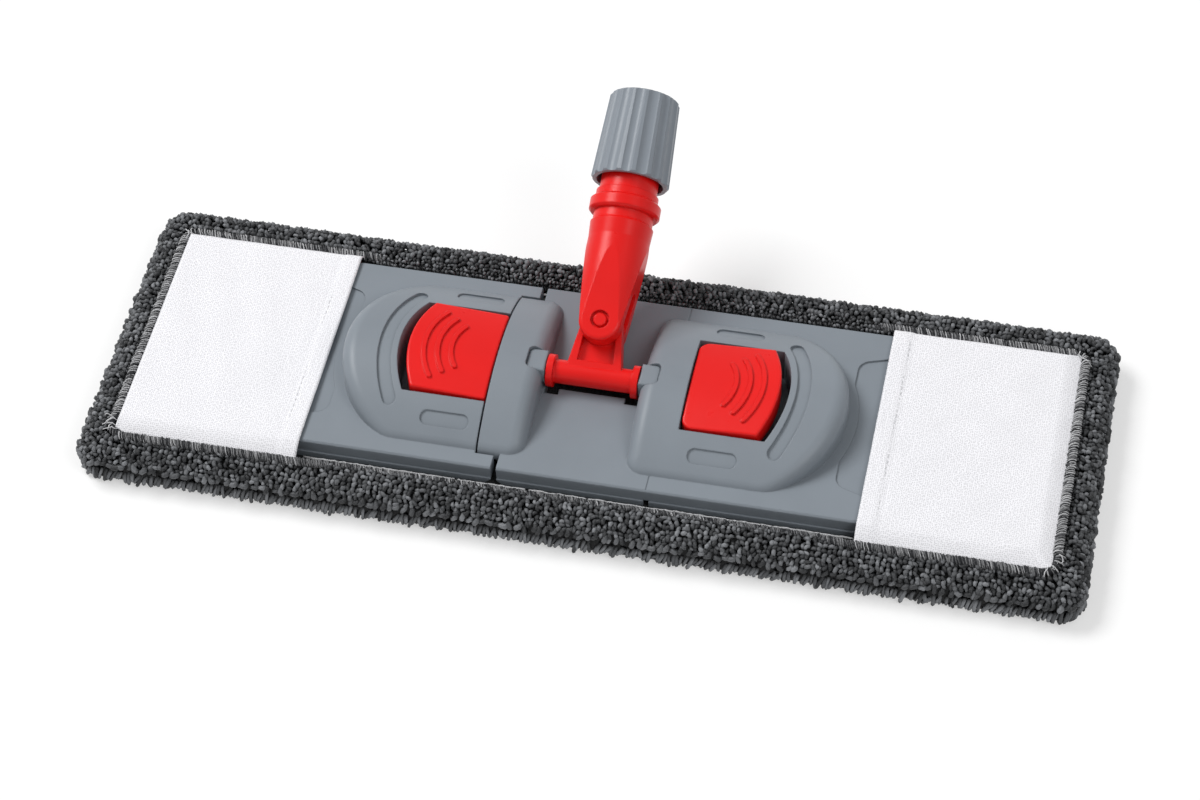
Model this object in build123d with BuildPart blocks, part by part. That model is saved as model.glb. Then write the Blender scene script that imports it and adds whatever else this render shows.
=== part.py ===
from build123d import *

import os
from math import asin, atan2, cos, degrees, hypot, pi, radians, sin, sqrt, tan

os.makedirs("parts", exist_ok=True)

# Clearances
seat_gap = 0.3            # cloth and loose pieces to what carries them
running_clearance = 0.06  # radial, pin in a turning hole
fixed_clearance = 0.02    # pin or insert in the seat that holds it
seam_gap = 0.8            # between the wing and the hub

# Frame plate
plate_length = 400.0
plate_width = 107.0
plate_depth = 10.0
plate_ledge_height = 3.4
plate_ledge_step = 0.7
plate_edge_break = 0.8
plate_corner_radius = 3.5
wall = 2.4
skin = 2.5
rib_thickness = 2.0
skirt_notch_width = 2.4

# Pad of loop pile that the frame stands in
pad_length = 444.0
pad_width = 151.0
pad_bed_height = 11.7
pad_rim_height = 18.5
pad_end_room = 5.0
pad_side_room = 2.5
pad_corner_radius = 12.0
pad_bed_corner = 3.5
pad_rim_rounding = 5.5
pad_sole_rounding = 4.0
pad_offset = 2.5          # the pad sits this far to the right of the joint
cloth_thickness = 0.8
pocket_mouth_gap = 10.0   # from the raised housing to the pocket's mouth

# Raised housings on both sides of the joint
valley_half = 22.0
hub_width = 20.3
pod_length = 90.0
pod_flange = 8.5          # flat border in front of and behind the housing
pod_crown_height = 15.0
pod_crown_radius = 78.0
pod_end_radius = 50.0
pod_inner_corner = 8.0
pod_outer_corner = 15.0
pod_shoulder = 6.5
pill_length = 21.5
pill_width = 6.0
pill_depth = 0.8
pill_inset = 3.8
groove_width = 6.0
groove_lip = 2.8
groove_depth = 1.2
groove_half_angle = 28.0
mould_line_width = 0.5
mould_line_depth = 0.25
tab_half_width = 34.5
tab_flare = 18.0          # degrees, its sides widen towards the wing's end
tab_flare_length = 30.0
tab_corner = 6.0
tab_halo = 4.5
tab_depth = 0.8

# Pedals
pedal_length = 39.2
pedal_half_width = 24.3
pedal_end_radius = 53.0
pedal_height = 13.6       # above the flange, at the middle of the inner edge
pedal_rise = 3.6          # degrees, up towards the outer end
pedal_crown_radius = 110.0
pedal_skirt = 8.0
pedal_wall = 2.2
pedal_edge_rounding = 1.0
pedal_inner_corners = {-1: 1.5, 1: 5.0}
pedal_side_gap = 1.2
pedal_inner_gap = 0.5
crescent_gap = 4.2
pedal_axle_radius = 2.0
pedal_axle_in = 8.0       # from the pedal's inner edge
pedal_axle_height = 5.0   # above the flange
pedal_lug_thickness = 4.0
pedal_lug_radius = 4.2
ridge_radii = (20.0, 26.0, 32.0)
ridge_half_angle = 35.0
ridge_width = 2.1
ridge_height = 0.9
bay_floor = 2.5
toe_setback = 0.8
toe_half_width = 10.0
toe_drop = 3.0            # below the flange

# Pedal springs
spring_in = 27.0          # from the pedal's inner edge
spring_radius = 4.0
spring_wire = 1.0
spring_turns = 4
spring_peg_radius = 2.6
spring_peg_height = 3.0

# Fold of the left wing
fold_gap = 2.5
fold_from_seam = 8.8
knuckle_radius = 2.7
knuckle_count = 5
knuckle_gap = 0.6
fold_pin_radius = 1.5
tongue_clearance = 1.0
fold_strip_half = 16.0

# Fold latch: magnets in the wing, steel plates in the hub
latch_length = 9.0
latch_height = 6.0
latch_thickness = 2.5
latch_from_middle = 34.0
latch_backing = 1.8

# Barrel of the joint, across the valley
barrel_axis_height = 6.8  # above the flange
barrel_radius = 5.3
barrel_flange_radius = 7.25
barrel_flange_width = 3.0
barrel_half_length = 20.4
barrel_bore_radius = 3.0
stub_head_radius = 5.8
stub_head_top = 6.6       # flat top of the head above the axis
stub_end_gap = 0.4
stub_seat_depth = 7.4     # how far the stub's head reaches into the wall
stub_corner = 2.4
stub_top_rounding = 1.0
stub_pin_length = 11.0
stub_seat_wall = 2.6
window_half_width = 4.4
window_notch_half_width = 7.6
window_notch_length = 6.4

# Tee
pin_distance = 22.5       # barrel to swing pin
web_half_width = 12.5
web_half_thickness = 1.5
tee_half_thickness = 4.6
tee_rib_width = 3.6
tee_boss_radius = 9.0

# Handle socket, stations along the handle measured from the swing pin
ear_half_width = 9.4
fork_half_depth = 12.9
fork_slot_half = 5.0
fork_slot_depth = 17.0
ear_edge_rounding = 1.8
flat_fade = 0.4           # the fork's flats run out this far inside the tube's start
swing_pin_radius = 3.0
swing_pin_recess_radius = 4.1
swing_pin_recess_depth = 2.0
swing_pin_sink = 0.4      # pin's ends below the ears' faces
tube_start = 40.0
tube_radius = 13.75
tube_shoulder = 47.0
shoulder_radius = 14.2
throat_radius = 13.4
collar_start = 52.0
collar_length = 6.5
collar_radius = 15.9
collar_rounding = 1.0
ring_length = 3.5
ring_radius = 14.0
neck_radius = 12.9
pole_radius = 11.1
pole_floor = 33.0
nut_start = 67.5
nut_length = 40.0
nut_base_radius = 17.6
nut_top_radius = 15.7
nut_lip = 4.0
nut_mouth_radius = 15.0
nut_mouth_depth = 5.0
nut_flute_count = 16
nut_flute_depth = 1.0
nut_flute_radii = (3.4, 4.6)
nut_edge_break = 0.8
nut_end_gap = 0.4
collet_slit_count = 4
collet_slit_width = 1.6
collet_slit_length = 22.0

# Levels and stations that follow from these
plate_bottom = pad_bed_height + seat_gap
flange_top = plate_bottom + plate_depth
plate_half_length = plate_length / 2
plate_half_width = plate_width / 2
bed_half_length = plate_half_length + pad_end_room
bed_half_width = plate_half_width + pad_side_room
seam = valley_half + hub_width
wing_seam = seam + seam_gap
fold_x = -(seam - fold_from_seam)
fold_z = plate_bottom + knuckle_radius
main_end = fold_x + fold_gap / 2
left_end = fold_x - fold_gap / 2
knuckle_top = fold_z + knuckle_radius
tongue_bottom = knuckle_top + tongue_clearance
pod_half_width = plate_half_width - pod_flange
pod_outer = valley_half + pod_length
pod_end_centre = pod_outer - pod_end_radius
pod_top = flange_top + pod_crown_height
hinge_reach = pod_half_width - pod_shoulder / 2
hinge_span = (-hinge_reach, hinge_reach)
pedal_inner = wing_seam
pedal_outer = pedal_inner + pedal_length
pedal_top = flange_top + pedal_height
pedal_bottom = pedal_top - pedal_skirt
slot_half_width = pedal_half_width + pedal_side_gap
slot_inner = pedal_inner - pedal_inner_gap
slot_outer = pedal_outer + crescent_gap
bay_top = plate_bottom + bay_floor
axle_x = pedal_inner + pedal_axle_in
axle_z = flange_top + pedal_axle_height
spring_x = pedal_inner + spring_in
spring_reach = spring_in - spring_radius - spring_wire
spring_top = pedal_top - pedal_wall + spring_reach * tan(radians(pedal_rise)) - seat_gap
pill_x = (pedal_inner + pedal_outer) / 2 - pill_inset
pill_y = (slot_half_width + pod_half_width) / 2
pocket_mouth = pod_outer + pocket_mouth_gap
stub_start = barrel_half_length + stub_end_gap
stub_end = valley_half + stub_seat_depth
far = 2 * plate_length    # longer than anything here, for cutters
whole = (-far, far)

# The handle leans back until the rear ear of its fork meets the valley floor
barrel_z = flange_top + barrel_axis_height
ear_reach = pin_distance - ear_half_width
ear_swing = hypot(ear_reach, fork_half_depth)
lean = degrees(atan2(fork_half_depth, ear_reach) - asin((barrel_axis_height - seat_gap) / ear_swing))
along = Vector(0, cos(radians(lean)), sin(radians(lean)))
square = Vector(0, -sin(radians(lean)), cos(radians(lean)))
barrel_centre = Vector(0, 0, barrel_z)
pin_centre = barrel_centre + along * pin_distance
tee_plane = Plane(origin=barrel_centre, x_dir=(1, 0, 0), z_dir=square)
pin_plane = Plane(origin=pin_centre, x_dir=(1, 0, 0), z_dir=square)
fork_side_plane = Plane(origin=pin_centre, x_dir=along, z_dir=(1, 0, 0))
handle_axis = Axis(pin_centre, along)


def finish_piece(builder, label):
    """Name a finished piece and write it."""
    builder.part.label = label
    export_step(builder.part, f"parts/{label}.step")


def box_between(x_range, y_range, z_range, mode=Mode.ADD):
    """Box between limits, put into the piece being built."""
    with Locations((sum(x_range) / 2, sum(y_range) / 2, sum(z_range) / 2)):
        Box(abs(x_range[1] - x_range[0]), y_range[1] - y_range[0], z_range[1] - z_range[0], mode=mode)


def rod_along_x(x_range, z, radius, mode=Mode.ADD):
    """Round rod along X on the middle line, put into the piece being built."""
    with Locations((sum(x_range) / 2, 0, z)):
        Cylinder(radius, abs(x_range[1] - x_range[0]), rotation=(0, 90, 0), mode=mode)


def rod_along_y(x, y_range, z, radius, mode=Mode.ADD):
    """Round rod along Y, put into the piece being built."""
    with Locations((x, sum(y_range) / 2, z)):
        Cylinder(radius, y_range[1] - y_range[0], rotation=(90, 0, 0), mode=mode)


# Shapes of the right housing, which the left wing mirrors


def pod_form(inset):
    """Crowned D-shaped housing on the right, drawn in by inset on every side."""
    half = pod_half_width - inset
    end_radius = pod_end_radius - inset
    inner = valley_half + inset
    straight_end = pod_end_centre + sqrt(end_radius**2 - half**2)
    with BuildPart() as form:
        with BuildSketch(Plane.XY.offset(plate_bottom)) as outline:
            with BuildLine():
                Polyline((straight_end, half), (inner, half), (inner, -half), (straight_end, -half))
                ThreePointArc((straight_end, -half), (pod_outer - inset, 0), (straight_end, half))
            make_face()
            fillet(outline.vertices().group_by(Axis.X)[-1], pod_outer_corner - inset)
            fillet(outline.vertices().group_by(Axis.X)[0], pod_inner_corner - inset)
        extrude(amount=plate_depth + pod_crown_height)
        with Locations((inner, 0, pod_top - pod_crown_radius)):
            Cylinder(pod_crown_radius - inset, far, rotation=(0, 90, 0), mode=Mode.INTERSECT)
        fillet(form.faces().sort_by(Axis.Z)[-1].edges(), pod_shoulder - inset)
    return form.part


def bay_form(margin, bottom):
    """Well for the right pedal, grown by margin, from bottom up to the housing's crown and past it."""
    half = slot_half_width + margin
    outer = slot_outer + margin
    inner = slot_inner - margin
    shoulder = outer - (pedal_end_radius - sqrt(pedal_end_radius**2 - half**2))
    with BuildPart() as form:
        with BuildSketch(Plane.XY.offset(bottom)):
            with BuildLine():
                Polyline((shoulder, half), (inner, half), (inner, -half), (shoulder, -half))
                ThreePointArc((shoulder, -half), (outer, 0), (shoulder, half))
            make_face()
        extrude(amount=pod_top + pod_crown_height - bottom)
    return form.part


def top_marks():
    """Shallow recesses in the right housing: pills, finger groove and the step for the pad's tab."""
    pill_floor = pod_form(pill_depth)
    groove_floor = pod_form(groove_depth)
    groove_radius = pedal_end_radius + crescent_gap + groove_lip + groove_width / 2
    groove_centre = slot_outer + groove_lip + groove_width / 2 - groove_radius
    flare_end = pod_outer + tab_flare_length
    tab_wide = tab_half_width + tab_flare_length * tan(radians(tab_flare))
    with BuildPart() as pills:
        with BuildSketch(Plane.XY.offset(flange_top)):
            with Locations((pill_x, pill_y), (pill_x, -pill_y)):
                SlotOverall(pill_length, pill_width)
        extrude(amount=2 * pod_crown_height)
        add(pill_floor, mode=Mode.SUBTRACT)
    with BuildPart() as groove:
        with BuildSketch(Plane.XY.offset(flange_top)):
            with BuildLine(mode=Mode.PRIVATE) as bend:
                CenterArc((groove_centre, 0), groove_radius, -groove_half_angle, 2 * groove_half_angle)
            SlotArc(bend.edge(), groove_width)
        extrude(amount=2 * pod_crown_height)
        add(groove_floor, mode=Mode.SUBTRACT)
    with BuildPart() as tab:
        with BuildSketch(Plane.XY.offset(flange_top - tab_depth)) as outline:
            with BuildLine():
                Polyline((far, -tab_wide), (flare_end, -tab_wide), (pod_outer, -tab_half_width),
                         (pod_outer, tab_half_width), (flare_end, tab_wide), (far, tab_wide), close=True)
            make_face()
            fillet(outline.vertices().group_by(Axis.X)[0], tab_corner)
            with Locations((pod_end_centre, 0)):
                Circle(pod_end_radius + tab_halo, mode=Mode.SUBTRACT)
        extrude(amount=2 * tab_depth)
    return [pills.part, groove.part, tab.part]


def plate_blank(side, fold_end):
    """Plate of one wing, with the ledge round its lower edge and a bevel under the fold."""
    outer, inner = (-1, 0) if side > 0 else (0, -1)
    bands = (
        (plate_bottom, plate_ledge_height, 0),
        (plate_bottom + plate_ledge_height, plate_depth - plate_ledge_height, plate_ledge_step),
    )
    with BuildPart() as blank:
        for level, height, step in bands:
            outer_end = side * (plate_half_length - step)
            with BuildSketch(Plane.XY.offset(level)) as outline:
                with Locations(((fold_end + outer_end) / 2, 0)):
                    Rectangle(abs(outer_end - fold_end), plate_width - 2 * step)
                fillet(outline.vertices().group_by(Axis.X)[outer], plate_corner_radius - step)
            extrude(amount=height)
        chamfer(blank.edges().group_by(Axis.Z)[-1].filter_by(Axis.X), plate_edge_break)
        chamfer(blank.edges().group_by(Axis.Z)[0].filter_by(Axis.Y).sort_by(Axis.X)[inner], knuckle_radius)
    return blank.part


def knuckle_spans(first):
    """Stretches of the fold hinge that belong to one side: every second knuckle from first."""
    pitch = 2 * hinge_reach / knuckle_count
    starts = [-hinge_reach + pitch * index for index in range(first, knuckle_count, 2)]
    return [(start + knuckle_gap / 2, start + pitch - knuckle_gap / 2) for start in starts]


def latch_seats(x_range, margin, mode):
    """Pair of blocks beside the seam for the fold latch, grown by margin."""
    reach = latch_length / 2 + margin
    rise = latch_height / 2 + margin
    for middle in (-latch_from_middle, latch_from_middle):
        box_between(x_range, (middle - reach, middle + reach), (flange_top - rise, flange_top + rise), mode)


def underside_ribs(side):
    """Ribs left standing in the cavity under one wing."""
    rib_z = (plate_bottom, flange_top)
    half = rib_thickness / 2
    first = pod_outer + pod_shoulder
    for station in (first, (first + plate_half_length) / 2):
        box_between((side * station - half, side * station + half), whole, rib_z, Mode.SUBTRACT)
    row = pod_half_width - pod_inner_corner
    for y in (-row, 0, row):
        box_between((side * pod_outer, side * plate_half_length), (y - half, y + half), rib_z, Mode.SUBTRACT)


def stub_head(side, margin, top):
    """Head of one axle stub, round below and flat-sided up to top above its axis, grown by margin."""
    half = stub_head_radius + margin
    start = side * stub_start
    end = side * (stub_end + margin)
    with BuildPart() as head:
        with BuildSketch(Plane.YZ.offset(start)):
            with Locations((0, barrel_z)):
                Circle(half)
                Rectangle(2 * half, top, align=(Align.CENTER, Align.MIN))
        extrude(amount=end - start)
        fillet(head.edges().filter_by(Axis.Z).sort_by(Axis.X)[-2:] if side > 0
               else head.edges().filter_by(Axis.Z).sort_by(Axis.X)[:2], stub_corner + margin)
    return head.part


pod_outside = pod_form(0)
pod_inside = pod_form(wall)
bay_block = bay_form(wall, plate_bottom)
bay_hollow = bay_form(0, bay_top)
marks = top_marks()
main_plate = plate_blank(1, main_end)
left_plate = plate_blank(-1, left_end)
cavity_half_width = plate_half_width - plate_ledge_step - wall
cavity_y = (-cavity_half_width, cavity_half_width)
cavity_z = (plate_bottom, flange_top - skin)
fold_wall = wall + knuckle_radius
axle_span = (-slot_half_width - wall, slot_half_width + wall)

# Hub: the block between the seam and the valley, outside and inside
with BuildPart() as hub_outside:
    add(pod_outside.mirror(Plane.YZ))
    box_between((-seam, 0), whole, (tongue_bottom, far), Mode.INTERSECT)

with BuildPart() as hub_inside:
    add(pod_inside.mirror(Plane.YZ))
    box_between((-seam + wall, 0), whole, (tongue_bottom, far), Mode.INTERSECT)

# Cavity under the hub and the right wing, less the ribs, well and seats that stand in it
with BuildPart() as main_cavity:
    box_between((main_end + fold_wall, plate_half_length - wall), cavity_y, cavity_z)
    add(pod_inside)
    add(hub_inside.part)
    underside_ribs(1)
    box_between((valley_half - wall, valley_half), whole, cavity_z, Mode.SUBTRACT)
    add(bay_block, mode=Mode.SUBTRACT)
    seat_half = stub_head_radius + stub_seat_wall
    for side in (-1, 1):
        box_between((side * valley_half, side * (stub_end + stub_seat_wall)), (-seat_half, seat_half),
                    (plate_bottom, far), Mode.SUBTRACT)
    latch_seats((-seam, -seam + latch_thickness + latch_backing), latch_backing, Mode.SUBTRACT)

# Main housing: hub and right wing in one moulding
with BuildPart() as main_housing:
    add(main_plate)
    # Mould line across the flange, in line with the fold, and the notch that ends it in the skirt
    line_x = -fold_x
    box_between((line_x - mould_line_width / 2, line_x + mould_line_width / 2), whole,
                (flange_top - mould_line_depth, far), Mode.SUBTRACT)
    box_between((line_x - skirt_notch_width / 2, line_x + skirt_notch_width / 2), (-far, -cavity_half_width),
                (0, plate_bottom + plate_ledge_height), Mode.SUBTRACT)
    add(pod_outside)
    add(hub_outside.part)
    add(main_cavity.part, mode=Mode.SUBTRACT)
    add(bay_hollow, mode=Mode.SUBTRACT)
    with Locations((spring_x, 0, bay_top)):
        Cylinder(spring_peg_radius, spring_peg_height, align=(Align.CENTER, Align.CENTER, Align.MIN))
    for mark in marks:
        add(mark, mode=Mode.SUBTRACT)
    # Fold hinge knuckles, and the room for those of the wing
    for span in knuckle_spans(0):
        rod_along_y(fold_x, span, fold_z, knuckle_radius)
        box_between((fold_x, main_end + fold_wall), span, (plate_bottom, knuckle_top))
    for span in knuckle_spans(1):
        room = (span[0] - knuckle_gap, span[1] + knuckle_gap)
        rod_along_y(fold_x, room, fold_z, knuckle_radius + knuckle_gap, Mode.SUBTRACT)
    rod_along_y(fold_x, hinge_span, fold_z, fold_pin_radius + fixed_clearance, Mode.SUBTRACT)
    # Window under the barrel, with notches for its flanges
    with BuildSketch(Plane.XY.offset(plate_bottom)):
        Rectangle(2 * stub_start, 2 * window_half_width)
        notch_middle = stub_start + stub_end_gap - window_notch_length / 2
        with Locations((notch_middle, 0), (-notch_middle, 0)):
            Rectangle(window_notch_length, 2 * window_notch_half_width)
    extrude(amount=plate_depth, mode=Mode.SUBTRACT)
    # Notches that the axle stubs lie in, open upwards
    for side in (-1, 1):
        add(stub_head(side, fixed_clearance, pod_crown_height), mode=Mode.SUBTRACT)
    # Seats of the pedal axle and of the latch plates
    rod_along_y(axle_x, axle_span, axle_z, pedal_axle_radius + fixed_clearance, Mode.SUBTRACT)
    latch_seats((-seam, -seam + latch_thickness), fixed_clearance, Mode.SUBTRACT)
finish_piece(main_housing, "main_housing")

# Cavity under the left wing
with BuildPart() as left_cavity:
    box_between((-plate_half_length + wall, left_end - fold_wall), cavity_y, cavity_z)
    add(pod_inside.mirror(Plane.YZ))
    tongue_wall = pod_half_width + wall
    box_between((-wing_seam - wall, 0), (-tongue_wall, tongue_wall), (0, far), Mode.SUBTRACT)
    underside_ribs(-1)
    add(bay_block.mirror(Plane.YZ), mode=Mode.SUBTRACT)
    latch_seats((-wing_seam - latch_thickness - latch_backing, -wing_seam), latch_backing, Mode.SUBTRACT)

# Left housing: the wing that folds down
with BuildPart() as left_housing:
    add(left_plate)
    add(pod_outside.mirror(Plane.YZ))
    box_between((left_end, 0), whole, (0, far), Mode.SUBTRACT)
    add(left_cavity.part, mode=Mode.SUBTRACT)
    tongue_half = pod_half_width + seam_gap
    box_between((-wing_seam, 0), (-tongue_half, tongue_half), (0, far), Mode.SUBTRACT)
    add(bay_hollow.mirror(Plane.YZ), mode=Mode.SUBTRACT)
    with Locations((-spring_x, 0, bay_top)):
        Cylinder(spring_peg_radius, spring_peg_height, align=(Align.CENTER, Align.CENTER, Align.MIN))
    for mark in marks:
        add(mark.mirror(Plane.YZ), mode=Mode.SUBTRACT)
    for span in knuckle_spans(1):
        rod_along_y(fold_x, span, fold_z, knuckle_radius)
        box_between((-wing_seam - wall, fold_x), span, (plate_bottom, knuckle_top))
    rod_along_y(fold_x, hinge_span, fold_z, fold_pin_radius + running_clearance, Mode.SUBTRACT)
    rod_along_y(-axle_x, axle_span, axle_z, pedal_axle_radius + fixed_clearance, Mode.SUBTRACT)
    latch_seats((-wing_seam - latch_thickness, -wing_seam), fixed_clearance, Mode.SUBTRACT)
finish_piece(left_housing, "left_housing")

# Fold pin
with BuildPart() as fold_pin:
    rod_along_y(fold_x, hinge_span, fold_z, fold_pin_radius)
finish_piece(fold_pin, "fold_pin")

# Fold latch: plates in the hub, magnets in the wing
with BuildPart() as latch_plates:
    latch_seats((-seam, -seam + latch_thickness - fixed_clearance), 0, Mode.ADD)
finish_piece(latch_plates, "latch_plates")

with BuildPart() as latch_magnets:
    latch_seats((-wing_seam - latch_thickness + fixed_clearance, -wing_seam), 0, Mode.ADD)
finish_piece(latch_magnets, "latch_magnets")


# Pedals, drawn on the right and mirrored for the left wing


def pedal_form(inset, bottom):
    """Crowned lever on the right, drawn in by inset at the sides and the top, from bottom up."""
    half = pedal_half_width - inset
    outer = pedal_outer - inset
    inner = pedal_inner + inset
    shoulder = outer - (pedal_end_radius - sqrt(pedal_end_radius**2 - half**2))
    rise = radians(pedal_rise)
    crown_square = (-sin(rise), 0, cos(rise))
    crown = Plane(origin=(pedal_inner, 0, pedal_top), x_dir=(cos(rise), 0, sin(rise)), z_dir=crown_square)
    with BuildPart() as form:
        with BuildSketch(Plane.XY.offset(bottom)):
            with BuildLine():
                Polyline((shoulder, half), (inner, half), (inner, -half), (shoulder, -half))
                ThreePointArc((shoulder, -half), (outer, 0), (shoulder, half))
            make_face()
        extrude(amount=pod_top + pedal_skirt - bottom)
        with Locations(crown.offset(-pedal_crown_radius)):
            Cylinder(pedal_crown_radius - inset, far, rotation=(0, 90, 0), mode=Mode.INTERSECT)
    return form.part


pedal_outside = pedal_form(0, pedal_bottom)
pedal_inside = pedal_form(pedal_wall, pedal_bottom)
pedal_middle = pedal_form(pedal_wall / 2, pedal_bottom)
pedal_under = pedal_form(pedal_wall / 2, bay_top)
ridge_tops = pedal_form(-ridge_height, pedal_bottom)

with BuildPart() as pedal_ridges:
    with BuildSketch(Plane.XY.offset(flange_top)):
        for radius in ridge_radii:
            with BuildLine(mode=Mode.PRIVATE) as bend:
                CenterArc((pedal_inner, 0), radius, -ridge_half_angle, 2 * ridge_half_angle)
            SlotArc(bend.edge(), ridge_width)
    extrude(amount=2 * pod_crown_height)
    add(ridge_tops, mode=Mode.INTERSECT)
    add(pedal_middle, mode=Mode.SUBTRACT)

with BuildPart() as pedal_works:
    lug_outer = pedal_half_width - pedal_wall / 2
    lug_inner = pedal_half_width - pedal_wall - pedal_lug_thickness
    for lug in ((lug_inner, lug_outer), (-lug_outer, -lug_inner)):
        rod_along_y(axle_x, lug, axle_z, pedal_lug_radius)
        box_between((axle_x - pedal_lug_radius, axle_x + pedal_lug_radius), lug, (axle_z, pod_top))
    with Locations((spring_x, 0, spring_top - spring_peg_height)):
        Cylinder(spring_peg_radius, pod_crown_height, align=(Align.CENTER, Align.CENTER, Align.MIN))
    add(pedal_under, mode=Mode.INTERSECT)


def pedal(inner_corner):
    """Foot lever on the right, its inner corners rounded by inner_corner."""
    with BuildPart() as lever:
        add(pedal_outside)
        fillet(lever.edges().filter_by(Axis.Z).sort_by(Axis.X)[:2], inner_corner)
        fillet(lever.faces().sort_by(Axis.Z)[-1].edges(), pedal_edge_rounding)
        add(pedal_inside, mode=Mode.SUBTRACT)
        add(pedal_ridges.part)
        add(pedal_works.part)
        rod_along_y(axle_x, axle_span, axle_z, pedal_axle_radius + running_clearance, Mode.SUBTRACT)
    return lever.part


right_lever = pedal(pedal_inner_corners[1])
left_lever = pedal(pedal_inner_corners[-1]).mirror(Plane.YZ)

with BuildPart() as right_pedal:
    add(right_lever)
finish_piece(right_pedal, "right_pedal")

# The left pedal's inner edge lies on the seam, with a toe under it that prises the wing off the hub
with BuildPart() as left_pedal:
    add(left_lever)
    toe_face = -pedal_inner - toe_setback
    box_between((toe_face - pedal_wall, toe_face), (-toe_half_width, toe_half_width),
                (flange_top - toe_drop, pedal_bottom + pedal_wall))
finish_piece(left_pedal, "left_pedal")

# Pedal axles
for side, label in ((-1, "left_pedal_axle"), (1, "right_pedal_axle")):
    with BuildPart() as axle:
        rod_along_y(side * axle_x, axle_span, axle_z, pedal_axle_radius)
    finish_piece(axle, label)


def coil_point(turn):
    """Point and direction on the spring's coil after this many turns."""
    angle = 2 * pi * turn
    pitch = (spring_top - bay_top - spring_wire) / spring_turns
    level = bay_top + spring_wire / 2 + pitch * turn
    point = Vector(spring_radius * cos(angle), spring_radius * sin(angle), level)
    heading = Vector(-sin(angle), cos(angle), pitch / (2 * pi * spring_radius)).normalized()
    return point, heading


def biarc(start, start_heading, end, end_heading):
    """Two arcs that leave start and reach end along the given headings."""
    chord = end - start
    turn = 1 - start_heading.dot(end_heading)
    reach = chord.dot(start_heading + end_heading)
    length = (sqrt(reach**2 + 2 * turn * chord.dot(chord)) - reach) / (2 * turn)
    middle = (start + start_heading * length + end - end_heading * length) * 0.5
    TangentArc(start, middle, tangent=start_heading)
    TangentArc(middle, end, tangent=-end_heading, tangent_from_first=False)


# Pedal springs, coiled wire between the well's floor and the pedal
for side, label in ((-1, "left_pedal_spring"), (1, "right_pedal_spring")):
    with BuildPart() as spring:
        with BuildLine() as wire:
            for quarter in range(4 * spring_turns):
                biarc(*coil_point(quarter / 4), *coil_point((quarter + 1) / 4))
        first_point, first_heading = coil_point(0)
        with BuildSketch(Plane(origin=first_point, z_dir=first_heading)):
            Circle(spring_wire / 2)
        sweep(path=wire.line)
    with BuildPart() as placed_spring:
        add(spring.part.moved(Location((side * spring_x, 0, 0))))
    finish_piece(placed_spring, label)

# Axle stubs that carry the barrel
for side, label in ((-1, "left_axle_stub"), (1, "right_axle_stub")):
    with BuildPart() as stub:
        add(stub_head(side, 0, stub_head_top))
        fillet(stub.faces().sort_by(Axis.Z)[-1].edges(), stub_top_rounding)
        rod_along_x((side * stub_start, side * (stub_start - stub_pin_length)), barrel_z, barrel_bore_radius)
    finish_piece(stub, label)

# Tee: barrel, flanges, ribbed web and the boss between the fork's ears
with BuildPart() as joint_tee:
    rod_along_x((-barrel_half_length, barrel_half_length), barrel_z, barrel_radius)
    for side in (-1, 1):
        rod_along_x((side * barrel_half_length, side * (barrel_half_length - barrel_flange_width)), barrel_z,
                    barrel_flange_radius)
    with BuildSketch(tee_plane.offset(-tee_half_thickness)):
        with BuildLine():
            Polyline((-web_half_width, 0), (web_half_width, 0), (tee_boss_radius, pin_distance),
                     (-tee_boss_radius, pin_distance), close=True)
        make_face()
        with Locations((0, pin_distance)):
            Circle(tee_boss_radius)
    extrude(amount=2 * tee_half_thickness)
    # Hollows between the ribs on both faces of the web
    hollow_top = pin_distance - tee_boss_radius
    hollow_slope = (web_half_width - tee_boss_radius) / pin_distance
    hollow_low = web_half_width - tee_rib_width - hollow_slope * barrel_radius
    hollow_high = web_half_width - tee_rib_width - hollow_slope * hollow_top
    for face in (web_half_thickness, -tee_half_thickness):
        with BuildSketch(tee_plane.offset(face)):
            with BuildLine():
                Polyline((-hollow_low, barrel_radius), (hollow_low, barrel_radius),
                         (hollow_high, pin_distance), (-hollow_high, pin_distance), close=True)
            make_face()
            with Locations((0, pin_distance)):
                Circle(tee_boss_radius, mode=Mode.SUBTRACT)
        extrude(amount=tee_half_thickness - web_half_thickness, mode=Mode.SUBTRACT)
    rod_along_x((-barrel_half_length, barrel_half_length), barrel_z, barrel_bore_radius + running_clearance,
                Mode.SUBTRACT)
    with Locations(pin_plane):
        Cylinder(swing_pin_radius + running_clearance, 2 * fork_half_depth, mode=Mode.SUBTRACT)
finish_piece(joint_tee, "joint_tee")


def across(station):
    """Plane square to the handle, this far above the swing pin."""
    return Plane(origin=pin_centre + along * station, x_dir=(1, 0, 0), z_dir=along)


nut_end = nut_start + nut_length
neck_end = nut_end - nut_lip - nut_end_gap
collar_end = collar_start + collar_length
collar_face = collar_radius - collar_rounding
ring_end = collar_end + ring_length

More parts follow.
